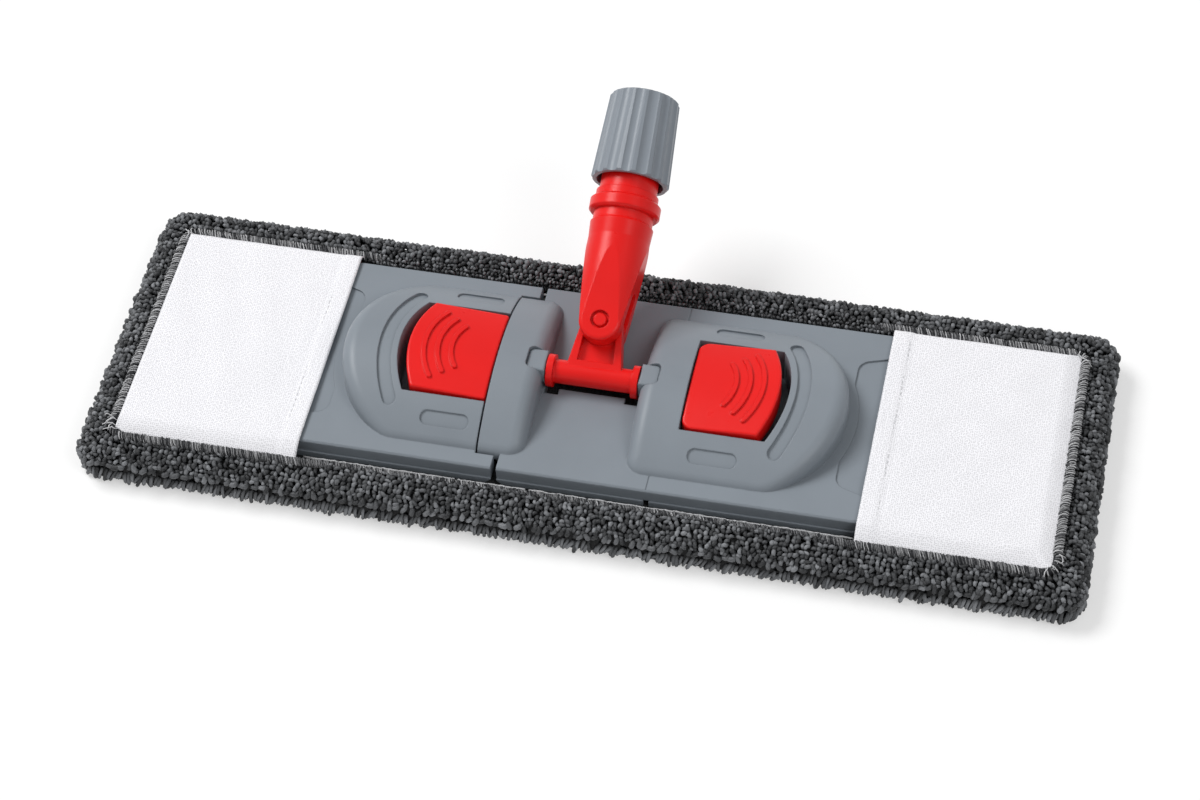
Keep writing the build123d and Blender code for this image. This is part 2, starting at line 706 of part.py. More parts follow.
# Fork: flat-sided at the ears, turning round towards the tube
fork_taper = (tube_radius + flat_fade - fork_half_depth) / tube_start
fork_low_depth = fork_half_depth - fork_taper * ear_half_width
ear_corner = (ear_half_width - ear_edge_rounding, fork_half_depth - ear_edge_rounding)
fork_corner_reach = hypot(*ear_corner) + ear_edge_rounding
fork_low_reach = fork_corner_reach + (fork_corner_reach - tube_radius) * ear_half_width / tube_start
with BuildPart() as fork:
    with BuildSketch(pin_plane):
        with BuildLine():
            Polyline((-tube_radius - flat_fade, tube_start), (-ear_half_width, 0), (ear_half_width, 0),
                     (tube_radius + flat_fade, tube_start), close=True)
        make_face()
        Circle(ear_half_width)
    extrude(amount=2 * tube_radius, both=True)
    with BuildSketch(fork_side_plane):
        with BuildLine():
            Polyline((-ear_half_width, -fork_low_depth), (tube_start, -tube_radius - flat_fade),
                     (tube_start, tube_radius + flat_fade), (-ear_half_width, fork_low_depth), close=True)
        make_face()
    extrude(amount=2 * tube_radius, both=True, mode=Mode.INTERSECT)
    ear_faces = fork.faces().sort_by(Axis(pin_centre, square))
    fillet((ear_faces[0].edges() + ear_faces[-1].edges()).filter_by(Axis.X, reverse=True), ear_edge_rounding)
    with BuildSketch(pin_plane):
        with BuildLine():
            Polyline((0, -ear_half_width), (fork_low_reach, -ear_half_width), (tube_radius, tube_start),
                     (0, tube_start), close=True)
        make_face()
    revolve(axis=handle_axis, mode=Mode.INTERSECT)

# Handle socket: fork, tube, collar and the split neck under the nut
with BuildPart() as handle_socket:
    add(fork.part)
    with BuildSketch(pin_plane):
        with BuildLine():
            Polyline((0, tube_start), (tube_radius, tube_start), (shoulder_radius, tube_shoulder),
                     (throat_radius, tube_shoulder + collar_rounding), (throat_radius, collar_start),
                     (collar_face, collar_start), (collar_radius, collar_start + collar_rounding),
                     (collar_radius, collar_end - collar_rounding), (collar_face, collar_end),
                     (ring_radius, collar_end), (ring_radius, ring_end), (neck_radius, ring_end),
                     (neck_radius, neck_end), (0, neck_end), close=True)
        make_face()
    revolve(axis=handle_axis)
    with BuildSketch(fork_side_plane):
        with Locations((fork_slot_depth - fork_slot_half, 0)):
            Circle(fork_slot_half)
            Rectangle(far, 2 * fork_slot_half, align=(Align.MAX, Align.CENTER))
    extrude(amount=far, both=True, mode=Mode.SUBTRACT)
    for face in (fork_half_depth, -fork_half_depth):
        with Locations(pin_plane.offset(face)):
            Cylinder(swing_pin_recess_radius, 2 * swing_pin_recess_depth, mode=Mode.SUBTRACT)
    with Locations(pin_plane):
        Cylinder(swing_pin_radius + fixed_clearance, 2 * fork_half_depth, mode=Mode.SUBTRACT)
    with BuildSketch(across(pole_floor)):
        Circle(pole_radius)
    extrude(amount=nut_end, mode=Mode.SUBTRACT)
    with BuildSketch(across(neck_end)):
        with PolarLocations(neck_radius, collet_slit_count):
            Rectangle(pole_radius, collet_slit_width)
    extrude(amount=-collet_slit_length, mode=Mode.SUBTRACT)
finish_piece(handle_socket, "handle_socket")

# Swing pin through the fork and the tee's boss
with BuildPart() as swing_pin:
    with Locations(pin_plane):
        Cylinder(swing_pin_radius, 2 * (fork_half_depth - swing_pin_sink))
    chamfer(swing_pin.edges().filter_by(GeomType.CIRCLE), swing_pin_sink)
finish_piece(swing_pin, "swing_pin")

# Clamp nut, fluted outside and stepped inside
with BuildPart() as clamp_nut:
    with BuildSketch(pin_plane):
        with BuildLine():
            bore = neck_radius + running_clearance
            mouth_end = nut_start + nut_mouth_depth
            lip_start = nut_end - nut_lip
            lip_radius = pole_radius + running_clearance
            Polyline((nut_mouth_radius, nut_start), (nut_base_radius, nut_start), (nut_top_radius, nut_end),
                     (lip_radius, nut_end), (lip_radius, lip_start), (bore, lip_start), (bore, mouth_end),
                     (nut_mouth_radius, mouth_end), close=True)
        make_face()
    revolve(axis=handle_axis)
    chamfer(clamp_nut.edges().filter_by(GeomType.CIRCLE).sort_by(SortBy.RADIUS)[-2:], nut_edge_break)
    for index in range(nut_flute_count):
        angle = 2 * pi * index / nut_flute_count
        flute = nut_flute_radii[index % len(nut_flute_radii)]
        for station, radius in ((nut_start, nut_base_radius), (nut_end, nut_top_radius)):
            reach = radius + flute - nut_flute_depth
            with BuildSketch(across(station)):
                with Locations((reach * cos(angle), reach * sin(angle))):
                    Circle(flute)
        loft(mode=Mode.SUBTRACT)
finish_piece(clamp_nut, "clamp_nut")

# Pad: a tray of loop pile, cut at the fold into two halves and the strip that bends
with BuildPart() as pad_form:
    with BuildSketch():
        with Locations((pad_offset, 0)):
            RectangleRounded(pad_length, pad_width, pad_corner_radius)
    extrude(amount=pad_rim_height)
    fillet(pad_form.faces().sort_by(Axis.Z)[0].edges(), pad_sole_rounding)
    with BuildSketch(Plane.XY.offset(pad_bed_height)):
        with Locations((pad_offset, 0)):
            RectangleRounded(2 * bed_half_length, 2 * bed_half_width, pad_bed_corner)
    extrude(amount=pad_rim_height, mode=Mode.SUBTRACT)
    fillet(pad_form.faces().sort_by(Axis.Z)[-1].edges(), pad_rim_rounding)

pad_pieces = {
    "mop_pad_left": (-far, fold_x - fold_strip_half - seat_gap),
    "mop_pad_fold": (fold_x - fold_strip_half, fold_x + fold_strip_half - seat_gap),
    "mop_pad_right": (fold_x + fold_strip_half, far),
}
for label, x_range in pad_pieces.items():
    with BuildPart() as pad_piece:
        add(pad_form.part)
        box_between(x_range, whole, whole, Mode.INTERSECT)
    finish_piece(pad_piece, label)

# Pockets: cloth sleeves over the plate's ends, sewn down on the pad
sleeve_top = flange_top + seat_gap
for side, label in ((-1, "left_pocket"), (1, "right_pocket")):
    top_end = side * (plate_half_length + seat_gap)
    base_end = pad_offset + side * (bed_half_length - seat_gap - cloth_thickness)
    mouth = pad_offset + side * pocket_mouth
    top_half = plate_half_width + seat_gap
    base_half = bed_half_width - seat_gap - cloth_thickness
    with BuildPart() as pocket:
        for grow, mode in ((cloth_thickness, Mode.ADD), (0, Mode.SUBTRACT)):
            levels = (
                (pad_bed_height, base_end, base_half, pad_bed_corner),
                (sleeve_top + grow, top_end, top_half, plate_corner_radius),
            )
            for level, end, half, corner in levels:
                with BuildSketch(Plane.XY.offset(level)) as outline:
                    with Locations(((mouth + end + side * grow) / 2, 0)):
                        Rectangle(abs(end + side * grow - mouth), 2 * (half + grow))
                    fillet(outline.vertices().group_by(Axis.X)[-1 if side > 0 else 0], corner + grow)
            loft(mode=mode)
    finish_piece(pocket, label)

print(f"handle leans {lean:.3f} degrees above the floor")
print(f"and turns {180 - 2 * lean:.3f} degrees to the other stop")
print("swing pin at", tuple(round(value, 4) for value in pin_centre))
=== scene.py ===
import math
from collections import namedtuple

import bmesh
import bpy
import numpy as np
from mathutils import Euler, Matrix, Vector


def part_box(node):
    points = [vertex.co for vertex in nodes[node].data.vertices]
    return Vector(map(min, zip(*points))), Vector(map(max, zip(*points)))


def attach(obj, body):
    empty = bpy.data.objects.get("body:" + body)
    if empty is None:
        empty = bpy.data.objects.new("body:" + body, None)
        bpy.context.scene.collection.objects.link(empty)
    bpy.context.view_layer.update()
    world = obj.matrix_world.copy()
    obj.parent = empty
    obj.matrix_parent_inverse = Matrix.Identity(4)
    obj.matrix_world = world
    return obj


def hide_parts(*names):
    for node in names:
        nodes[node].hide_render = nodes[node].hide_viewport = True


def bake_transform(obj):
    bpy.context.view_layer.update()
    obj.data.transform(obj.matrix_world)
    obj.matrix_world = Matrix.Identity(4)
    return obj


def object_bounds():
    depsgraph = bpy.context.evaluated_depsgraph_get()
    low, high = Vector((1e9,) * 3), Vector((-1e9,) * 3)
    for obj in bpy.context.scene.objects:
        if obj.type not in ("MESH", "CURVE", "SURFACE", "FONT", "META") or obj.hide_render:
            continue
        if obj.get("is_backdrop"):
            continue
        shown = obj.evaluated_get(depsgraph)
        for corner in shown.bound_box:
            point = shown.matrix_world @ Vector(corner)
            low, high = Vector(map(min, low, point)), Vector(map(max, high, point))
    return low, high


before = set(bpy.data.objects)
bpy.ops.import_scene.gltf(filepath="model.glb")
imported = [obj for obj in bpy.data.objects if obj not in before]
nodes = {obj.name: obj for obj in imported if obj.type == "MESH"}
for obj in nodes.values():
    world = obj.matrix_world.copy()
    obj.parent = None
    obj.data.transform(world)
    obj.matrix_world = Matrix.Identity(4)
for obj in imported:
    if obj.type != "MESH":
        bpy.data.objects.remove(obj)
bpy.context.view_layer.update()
SEED = 40
rng = np.random.default_rng(SEED)
MM = 0.001


def box_mm(node):
    """Corners of a node's box in millimetres."""
    low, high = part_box(node)
    return np.array(low) / MM, np.array(high) / MM


# Places on the part in millimetres, from the boxes of its nodes
pad_low, pad_high = box_mm("mop_pad_left")[0], box_mm("mop_pad_right")[1]
fold_low, fold_high = box_mm("mop_pad_fold")
left_pocket_low, left_pocket_high = box_mm("left_pocket")
right_pocket_low, right_pocket_high = box_mm("right_pocket")
PAD_OFFSET = (pad_low[0] + pad_high[0]) / 2
PAD_HALF = ((pad_high[0] - pad_low[0]) / 2, (pad_high[1] - pad_low[1]) / 2)
PAD_CORNER = 12.0
SEAM_ROOM = 0.3
BED_HALF = ((right_pocket_high[0] - left_pocket_low[0]) / 2 + SEAM_ROOM, right_pocket_high[1] + SEAM_ROOM)
BED_CORNER = 3.5
FOLD_X = (fold_low[0] + fold_high[0]) / 2
FOLD_STRIP = (fold_high[0] - fold_low[0]) / 2
POCKET_MOUTH = (right_pocket_low[0] - left_pocket_high[0]) / 2
# Corners of the plate and top of the pockets' solids, to hundredths of a millimetre
plate_low = np.round(box_mm("left_housing")[0], 2)
plate_high = np.round(box_mm("main_housing")[1], 2)
POCKET_TOP = np.round(right_pocket_high[2], 2)

# Meshes from arrays

# Turn of a yarn's ply from one ring of its tube to the next, in radians
PLY_TWIST = 1.4
# Factors and shift that turn a tube's way into another way that isn't parallel to it
OTHER_WAY = (0.3, -0.7, 0.9)
OTHER_SHIFT = (0.31, 0.17, -0.23)
# Share of its cell that a tube fills on the map
CELL_FILL = 0.9


def add_object(name, data):
    """New object in the scene."""
    piece = bpy.data.objects.new(name, data)
    bpy.context.scene.collection.objects.link(piece)
    return piece


def new_mesh(name, points, faces, tones=None, uvs=None):
    """Smooth mesh object from points in millimetres, with a tone and a map place for each point if given."""
    mesh = bpy.data.meshes.new(name)
    mesh.from_pydata((np.asarray(points) * MM).tolist(), [], faces)
    mesh.polygons.foreach_set("use_smooth", [True] * len(mesh.polygons))
    if tones is not None:
        layer = mesh.attributes.new("tone", "FLOAT", "POINT")
        layer.data.foreach_set("value", np.asarray(tones, np.float32))
    if uvs is not None:
        layer = mesh.uv_layers.new(name="OFBake")
        corners = np.empty(len(mesh.loops), np.int32)
        mesh.loops.foreach_get("vertex_index", corners)
        layer.data.foreach_set("uv", np.asarray(uvs, np.float32)[corners].ravel())
    mesh.update()
    return add_object(name, mesh)


def tube(path, radii, sides, ply=0.0):
    """Points of a tube round each path of shape (count, rings, 3), with a ply that winds round it."""
    along = np.gradient(path, axis=1)
    along /= np.linalg.norm(along, axis=2, keepdims=True)
    side = np.cross(along, np.roll(along, 1, axis=2) * OTHER_WAY + OTHER_SHIFT)
    side /= np.linalg.norm(side, axis=2, keepdims=True)
    up = np.cross(along, side)
    turn = 2 * np.pi * np.arange(sides) / sides
    ring = side[:, :, None] * np.cos(turn)[:, None] + up[:, :, None] * np.sin(turn)[:, None]
    swell = 1 + ply * np.cos(turn + PLY_TWIST * np.arange(path.shape[1])[:, None])
    return path[:, :, None] + ring * (np.asarray(radii)[..., None] * swell)[..., None]


def strand_faces(rings, sides):
    """Quads along one tube, and its two end faces."""
    faces = []
    for ring in range(rings - 1):
        for side in range(sides):
            after = (side + 1) % sides
            low, high = ring * sides, (ring + 1) * sides
            faces.append((low + side, low + after, high + after, high + side))
    faces.append(tuple(reversed(range(sides))))
    faces.append(tuple((rings - 1) * sides + side for side in range(sides)))
    return faces


def strands(paths, radii, sides, tones, ply=0.0):
    """(points, faces, tones, map) of tubes with as many rings each, with a tone for each tube or ring."""
    count, rings = paths.shape[:2]
    points = tube(paths, radii, sides, ply).reshape(-1, 3)
    one = strand_faces(rings, sides)
    starts = range(0, count * rings * sides, rings * sides)
    faces = [tuple(corner + start for corner in face) for start in starts for face in one]
    grid = max(1, math.ceil(math.sqrt(count)))
    cell = np.stack([np.arange(count) % grid, np.arange(count) // grid], axis=1)[:, None] / grid
    around, length = np.meshgrid(np.arange(sides) / sides, np.arange(rings) / rings)
    inner = np.stack([around.ravel(), length.ravel()], axis=1)[None] * CELL_FILL / grid
    ring_tones = np.broadcast_to(tones.reshape(count, -1), (count, rings))
    return points, faces, np.repeat(ring_tones, sides), (cell + inner).reshape(-1, 2)


def joined(*groups):
    """One (points, faces, tones, map) out of several, each in its own strip of the map."""
    points, faces, tones, uvs = [], [], [], []
    start, strip = 0, 0.0
    whole = sum(len(group[0]) for group in groups)
    for group in groups:
        points.append(group[0])
        faces += [tuple(corner + start for corner in face) for face in group[1]]
        tones.append(group[2])
        share = len(group[0]) / whole
        uvs.append(group[3] * (1, share) + (0, strip))
        start += len(group[0])
        strip += share
    return np.concatenate(points), faces, np.concatenate(tones), np.concatenate(uvs)


def grid_faces(rows, columns):
    """Quads of a grid of points stored row by row."""
    faces = []
    for row in range(rows - 1):
        for column in range(columns - 1):
            low, high = row * columns + column, (row + 1) * columns + column
            faces.append((low, low + 1, high + 1, high))
    return faces


def step_up(values, edge, width):
    """Smooth step from 0 to 1 round edge."""
    share = np.clip((values - edge) / width + 0.5, 0, 1)
    return share * share * (3 - 2 * share)


# Materials

# Reflection of plastic and yarn, which have a dull surface
DULL = 0.22
# How much rougher and smoother than its mean a plastic is in places
ROUGH_SPREAD = 0.06
# How much the fibres add to a strand's tone
FIBRE_SHARE = 0.5


def material(name):
    """New material, its node tree, its shader and a function that adds a node with inputs and links."""
    made = bpy.data.materials.new(name)
    made.use_nodes = True
    tree = made.node_tree
    shader = tree.nodes["Principled BSDF"]

    def node(kind, links=(), **values):
        item = tree.nodes.new(kind)
        for key, value in values.items():
            if key in item.inputs:
                item.inputs[key].default_value = value
            else:
                setattr(item, key, value)
        for socket, source in dict(links).items():
            tree.links.new(source, item.inputs[socket])
        return item

    return made, tree, shader, node


def ramp(node, source, stops):
    """Colour ramp over a value, from (position, colour) stops."""
    item = node("ShaderNodeValToRGB", {"Fac": source})
    while len(item.color_ramp.elements) < len(stops):
        item.color_ramp.elements.new(0.5)
    for element, (place, colour) in zip(item.color_ramp.elements, stops):
        element.position = place
        element.color = (*colour, 1)
    return item


def shade(colour, factor):
    """Colour made darker or lighter."""
    return tuple(min(1.0, value * factor) for value in colour)


def plastic(name, colour, rough, grain, edge_radius):
    """Moulded plastic: fine spark-eroded grain, slight flow marks and a soft break on every edge."""
    made, tree, shader, node = material(name)
    place = node("ShaderNodeTexCoord").outputs["Object"]
    flow = node("ShaderNodeTexNoise", {"Vector": place}, Scale=22.0, Detail=3.0, Roughness=0.55)
    mottle = ramp(node, flow.outputs["Fac"], [(0.3, shade(colour, 0.95)), (0.7, shade(colour, 1.05))])
    tree.links.new(mottle.outputs["Color"], shader.inputs["Base Color"])
    dust = node("ShaderNodeTexNoise", {"Vector": place}, Scale=160.0, Detail=4.0)
    gloss = node("ShaderNodeMapRange", {"Value": dust.outputs["Fac"]},
                 **{"To Min": rough - ROUGH_SPREAD, "To Max": rough + ROUGH_SPREAD})
    tree.links.new(gloss.outputs["Result"], shader.inputs["Roughness"])
    edge = node("ShaderNodeBevel", samples=4, Radius=edge_radius * MM)
    pores = node("ShaderNodeTexNoise", {"Vector": place}, Scale=1800.0, Detail=2.0)
    bump = node("ShaderNodeBump", {"Height": pores.outputs["Fac"], "Normal": edge.outputs["Normal"]},
                Strength=grain, Distance=0.0002)
    tree.links.new(bump.outputs["Normal"], shader.inputs["Normal"])
    shader.inputs["Specular IOR Level"].default_value = DULL
    return made


def steel(name, colour):
    """Drawn steel: fine lines along the metal."""
    made, tree, shader, node = material(name)
    place = node("ShaderNodeTexCoord").outputs["Object"]
    drawn = node("ShaderNodeMapping", {"Vector": place}, Scale=(900.0, 60.0, 900.0))
    lines = node("ShaderNodeTexNoise", {"Vector": drawn.outputs["Vector"]}, Scale=1.0, Detail=2.0)
    tint = ramp(node, lines.outputs["Fac"], [(0.3, shade(colour, 0.85)), (0.7, shade(colour, 1.1))])
    tree.links.new(tint.outputs["Color"], shader.inputs["Base Color"])
    bump = node("ShaderNodeBump", {"Height": lines.outputs["Fac"]}, Strength=0.1, Distance=0.0001)
    tree.links.new(bump.outputs["Normal"], shader.inputs["Normal"])
    shader.inputs["Metallic"].default_value = 1.0
    shader.inputs["Roughness"].default_value = 0.35
    return made


def yarn(name, dark, light, rough):
    """Spun yarn: its tone from the strand, with fine fibres."""
    made, tree, shader, node = material(name)
    place = node("ShaderNodeTexCoord").outputs["Object"]
    tone = node("ShaderNodeAttribute", attribute_name="tone")
    fibre = node("ShaderNodeTexNoise", {"Vector": place}, Scale=1500.0, Detail=3.0, Roughness=0.7)
    weight = node("ShaderNodeMath", {0: fibre.outputs["Fac"]}, operation="MULTIPLY_ADD")
    weight.inputs[1].default_value = FIBRE_SHARE
    tree.links.new(tone.outputs["Fac"], weight.inputs[2])
    tint = ramp(node, weight.outputs["Value"], [(0.15, dark), (1.15, light)])
    tree.links.new(tint.outputs["Color"], shader.inputs["Base Color"])
    bump = node("ShaderNodeBump", {"Height": fibre.outputs["Fac"]}, Strength=0.6, Distance=0.0004)
    tree.links.new(bump.outputs["Normal"], shader.inputs["Normal"])
    shader.inputs["Roughness"].default_value = rough
    shader.inputs["Specular IOR Level"].default_value = DULL
    return made


def cloth(name, colour, pitch, depth):
    """Fine warp-knit cloth: small pores at one pitch, laid out on the flat piece."""
    made, tree, shader, node = material(name)
    place = node("ShaderNodeAttribute", attribute_name="flat").outputs["Vector"]
    cells = node("ShaderNodeTexVoronoi", {"Vector": place}, Scale=1.0 / pitch, Randomness=0.55,
                 voronoi_dimensions="2D")
    pores = node("ShaderNodeMapRange", {"Value": cells.outputs["Distance"]},
                 **{"From Min": 0.12, "From Max": 0.42})
    soft = node("ShaderNodeTexNoise", {"Vector": place}, Scale=35.0, Detail=2.0)
    wear = ramp(node, soft.outputs["Fac"], [(0.3, shade(colour, 0.97)), (0.7, colour)])
    tint = node("ShaderNodeMix", {"Factor": pores.outputs["Result"]}, data_type="RGBA")
    colour_a, colour_b = tint.inputs[6], tint.inputs[7]
    colour_a.default_value = (*shade(colour, 0.70), 1)
    tree.links.new(wear.outputs["Color"], colour_b)
    mixed_colour = tint.outputs[2]
    tree.links.new(mixed_colour, shader.inputs["Base Color"])
    bump = node("ShaderNodeBump", {"Height": pores.outputs["Result"]}, Strength=depth, Distance=0.0003)
    tree.links.new(bump.outputs["Normal"], shader.inputs["Normal"])
    shader.inputs["Roughness"].default_value = 0.85
    shader.inputs["Sheen Weight"].default_value = 0.15
    shader.inputs["Specular IOR Level"].default_value = 0.2
    return made


GREY = plastic("grey_plastic", (0.202, 0.228, 0.256), rough=0.38, grain=0.22, edge_radius=0.8)
NUT_GREY = plastic("nut_plastic", (0.218, 0.243, 0.274), rough=0.34, grain=0.15, edge_radius=0.3)
RED = plastic("red_plastic", (0.71, 0.007, 0.006), rough=0.30, grain=0.12, edge_radius=0.8)
STEEL = steel("drawn_steel", (0.60, 0.60, 0.61))
MAGNET = steel("nickel", (0.48, 0.47, 0.44))
PILE = yarn("pile_yarn", dark=(0.002, 0.0022, 0.0027), light=(0.215, 0.223, 0.236), rough=0.45)
THREAD = yarn("stitch_thread", dark=(0.02, 0.021, 0.024), light=(0.70, 0.705, 0.72), rough=0.7)
WHITE = cloth("pocket_cloth", (0.86, 0.858, 0.89), pitch=0.0009, depth=0.35)
# The backing's dark colour is partly its own and partly painted shade, for the dark seen through the window
# under the barrel
BACKING = cloth("pad_backing", (0.035, 0.036, 0.038), pitch=0.0016, depth=0.6)

looks = {
    GREY: ("main_housing", "left_housing", "left_axle_stub", "right_axle_stub"),
    NUT_GREY: ("clamp_nut",),
    RED: ("left_pedal", "right_pedal", "joint_tee", "handle_socket", "swing_pin"),
    STEEL: ("fold_pin", "latch_plates", "left_pedal_axle", "right_pedal_axle", "left_pedal_spring",
            "right_pedal_spring"),
    MAGNET: ("latch_magnets",),
}
for look, names in looks.items():
    for name in names:
        nodes[name].data.materials.clear()
        nodes[name].data.materials.append(look)


def dress(piece, body, look):
    """Material and slot of a new piece, and the body that it moves with if it has one alone."""
    piece.data.materials.append(look)
    if body:
        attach(piece, body)
    return piece


# Pedal springs, whose coils close up when a pedal goes down; each coil is copied as it stands, in place of
# its part


def pedal_spring(side):
    """Copy of one pedal's spring coil, baked in place, that takes the place of its part."""
    node = f"{side}_pedal_spring"
    coil = add_object(f"spring_coil_{side}", nodes[node].data.copy())
    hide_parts(node)
    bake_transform(coil)


pedal_spring("left")
pedal_spring("right")

# Outlines of the pad

# How fast the rim's corners tighten on the way in, and their least radius
CORNER_SHRINK = 0.5
CORNER_LEAST = 5.0
# Least part of the way out along Y on the long sides and along X at the ends, and their product at a corner
SIDE_WAY = 0.9
END_WAY = 0.5
CORNER_WAY = 0.2


def outline_path(half, radius, count, phase=0.0):
    """Points in even steps round a rounded rectangle, the way out at each, and its length."""
    half_x, half_y = half
    flat_x, flat_y, bend = 2 * (half_x - radius), 2 * (half_y - radius), math.pi / 2 * radius
    total = 2 * (flat_x + flat_y + 2 * bend)
    places, ways = np.empty((count, 2)), np.empty((count, 2))
    run = ((np.arange(count) + phase) / count * total) % total
    legs = [
        (flat_x, (-half_x + radius, -half_y), (1, 0), (0, -1)),
        (flat_y, (half_x, -half_y + radius), (0, 1), (1, 0)),
        (flat_x, (half_x - radius, half_y), (-1, 0), (0, 1)),
        (flat_y, (-half_x, half_y - radius), (0, -1), (-1, 0)),
    ]
    start = 0.0
    for length, corner, way, out_way in legs:
        corner, way, out_way = np.array(corner), np.array(way), np.array(out_way)
        on = (run >= start) & (run < start + length)
        places[on] = corner + way * (run[on] - start)[:, None]
        ways[on] = out_way
        start += length
        on = (run >= start) & (run < start + bend)
        angle = ((run[on] - start) / radius)[:, None]
        centre = corner + way * length - out_way * radius
        ways[on] = out_way * np.cos(angle) + way * np.sin(angle)
        places[on] = centre + ways[on] * radius
        start += bend
    return places + (PAD_OFFSET, 0.0), ways, total


def rim_path(inset, count, phase=0.0):
    """Outline this far inside the pad's outer edge."""
    half = (PAD_HALF[0] - inset, PAD_HALF[1] - inset)
    return outline_path(half, max(PAD_CORNER - CORNER_SHRINK * inset, CORNER_LEAST), count, phase)


def bed_path(count):
    """Outline of the bed, where the pockets and the backing are sewn down."""
    return outline_path(BED_HALF, BED_CORNER, count)


def bed_steps(step):
    """Outline of the bed in steps of about this length."""
    return bed_path(round(bed_path(1)[2] / step))


def along_outline(ways):
    """Way along an outline, from the way out at each of its points."""
    return np.stack([-ways[:, 1], ways[:, 0]], axis=1)


def at_ends(ways):
    """Which places round an outline lie at the pad's left and right end."""
    return np.abs(ways[:, 0]) > END_WAY


def beside_pocket(places):
    """Which places lie beside a pocket."""
    return np.abs(places[:, 0] - PAD_OFFSET) > POCKET_MOUTH


# Yarn loops of the pad

# A loop's sizes, its pitch along the row, its turn in the row in radians, and its tube's rings and sides
Loop = namedtuple("Loop", "height half_width radius pitch turn turn_spread rings sides")
EDGE_LOOP = Loop(height=2.0, half_width=2.9, radius=0.82, pitch=1.8, turn=0.3, turn_spread=0.16,
                 rings=7, sides=5)
LEDGE_LOOP = Loop(height=3.2, half_width=1.4, radius=1.05, pitch=3.1, turn=0.7, turn_spread=0.5,
                  rings=9, sides=6)
SMALL_LOOP = Loop(height=2.9, half_width=0.95, radius=0.83, pitch=2.3, turn=0.0, turn_spread=0.7,
                  rings=7, sides=5)
BEAD_LOOP = Loop(height=1.6, half_width=0.6, radius=0.62, pitch=1.8, turn=0.0, turn_spread=0.8,
                 rings=5, sides=5)
SOLE_LOOP = Loop(height=3.2, half_width=1.7, radius=1.15, pitch=3.9, turn=0.0, turn_spread=0.5,
                 rings=5, sides=5)
# Share of the radius by which the ply stands out
LOOP_PLY = 0.16
# Form of a loop's arch: where it starts on its half turn, how far it bulges, and how full its top is
ARCH_START = 0.04
ARCH_BULGE = 0.3
ARCH_FULL = 0.75
# Thickness at a loop's feet, how much more it is at the top, and the least height of its middle in radii
FOOT_THICK = 0.8
TOP_THICK = 0.32
FLOOR_ROOM = 1.3
# Painted shade at a loop's feet: how much darker than its top they are
FOOT_SHADE = 0.6
# Seeded differences from loop to loop: least and most size, least and most width, and lean
SIZE_RANGE = (0.85, 1.15)
WIDTH_RANGE = (0.8, 1.2)
LEAN_SPREAD = 0.4
# Seeded differences in a row: lean in degrees, slide in pitches, tilt along the row, and height of the tips
ROW_LEAN_SPREAD = 9
ROW_SLIDE = 0.16
ROW_TILT = 0.16
TIP_SPREAD = 0.25
# How much higher the rim stands at the rear
REAR_LIFT = 0.11

# Row of loops round the rim: its tips in from the pad's edge and up, its lean from level, and its stretch
Row = namedtuple("Row", "inset tip lean shape stretch")
edge_rows = [
    Row(2.6, 1.3, -60, BEAD_LOOP, "all"),
    Row(0.7, 4.4, 6, EDGE_LOOP, "all"),
]
rim_rows = [
    Row(0.2, 11.7, 10, LEDGE_LOOP, "all"),
    Row(1.8, 13.6, 22, SMALL_LOOP, "all"),
    Row(3.0, 15.1, 34, SMALL_LOOP, "all"),
    Row(4.4, 16.7, 50, SMALL_LOOP, "all"),
    Row(6.3, 17.9, 66, SMALL_LOOP, "all"),
    Row(8.6, 18.7, 82, SMALL_LOOP, "all"),
    Row(11.0, 18.8, 92, SMALL_LOOP, "all"),
    Row(13.4, 18.5, 100, SMALL_LOOP, "open sides"),
    Row(15.2, 18.0, 106, BEAD_LOOP, "open fronts"),
    Row(15.6, 18.3, 104, BEAD_LOOP, "open rears"),
    Row(17.3, 18.0, 108, BEAD_LOOP, "open rears"),
    Row(18.9, 17.0, 116, BEAD_LOOP, "open rears"),
    Row(13.2, 18.0, 100, SMALL_LOOP, "pocket rears"),
    Row(14.2, 19.4, 96, SMALL_LOOP, "pocket rears"),
    Row(11.2, 19.6, 84, SMALL_LOOP, "pocket fronts"),
    Row(12.3, 18.2, 96, BEAD_LOOP, "ends"),
]


def arches(base, normal, row_way, shape, size):
    """Paths of yarn loops that stand on base along normal, each arched across its row or turned from it."""
    count = len(base)
    across_row = np.cross(normal, row_way)
    across_row /= np.linalg.norm(across_row, axis=1, keepdims=True)
    row_way = np.cross(across_row, normal)
    turn = rng.normal(shape.turn, shape.turn_spread, count)[:, None]
    foot = across_row * np.cos(turn) + row_way * np.sin(turn)
    off = np.cross(normal, foot)
    step = np.linspace(ARCH_START, 1 - ARCH_START, shape.rings) * np.pi
    spread = -np.cos(step) * (1 + ARCH_BULGE * np.sin(step))
    rise = np.sin(step) ** ARCH_FULL
    width = shape.half_width * rng.uniform(*WIDTH_RANGE, count)
    lean = rng.normal(0, LEAN_SPREAD, count)
    path = base[:, None] + foot[:, None] * (width[:, None] * spread)[..., None]
    path = path + normal[:, None] * ((shape.height * size)[:, None] * rise)[..., None]
    return path + off[:, None] * (lean[:, None] * np.sin(2 * step))[..., None]


def loop_strands(base, normal, row_way, shape, tones):
    """Tubes of yarn loops of one kind, with seeded differences in size and lean, and painted shade towards
    their feet.
    """
    size = rng.uniform(*SIZE_RANGE, len(base))
    path = arches(base, normal, row_way, shape, size)
    top = np.sin(np.linspace(0, 1, shape.rings) * np.pi)
    thick = shape.radius * (FOOT_THICK + TOP_THICK * top) * size[:, None]
    path[:, :, 2] = np.maximum(path[:, :, 2], shape.radius * FLOOR_ROOM)
    # Painted shade: each ring's tone falls from the loop's top to its feet, for the shade down among the
    # loops
    ring_tones = tones[:, None] * ((1 + FOOT_SHADE) * top - FOOT_SHADE)
    return strands(path, thick, shape.sides, ring_tones, LOOP_PLY)


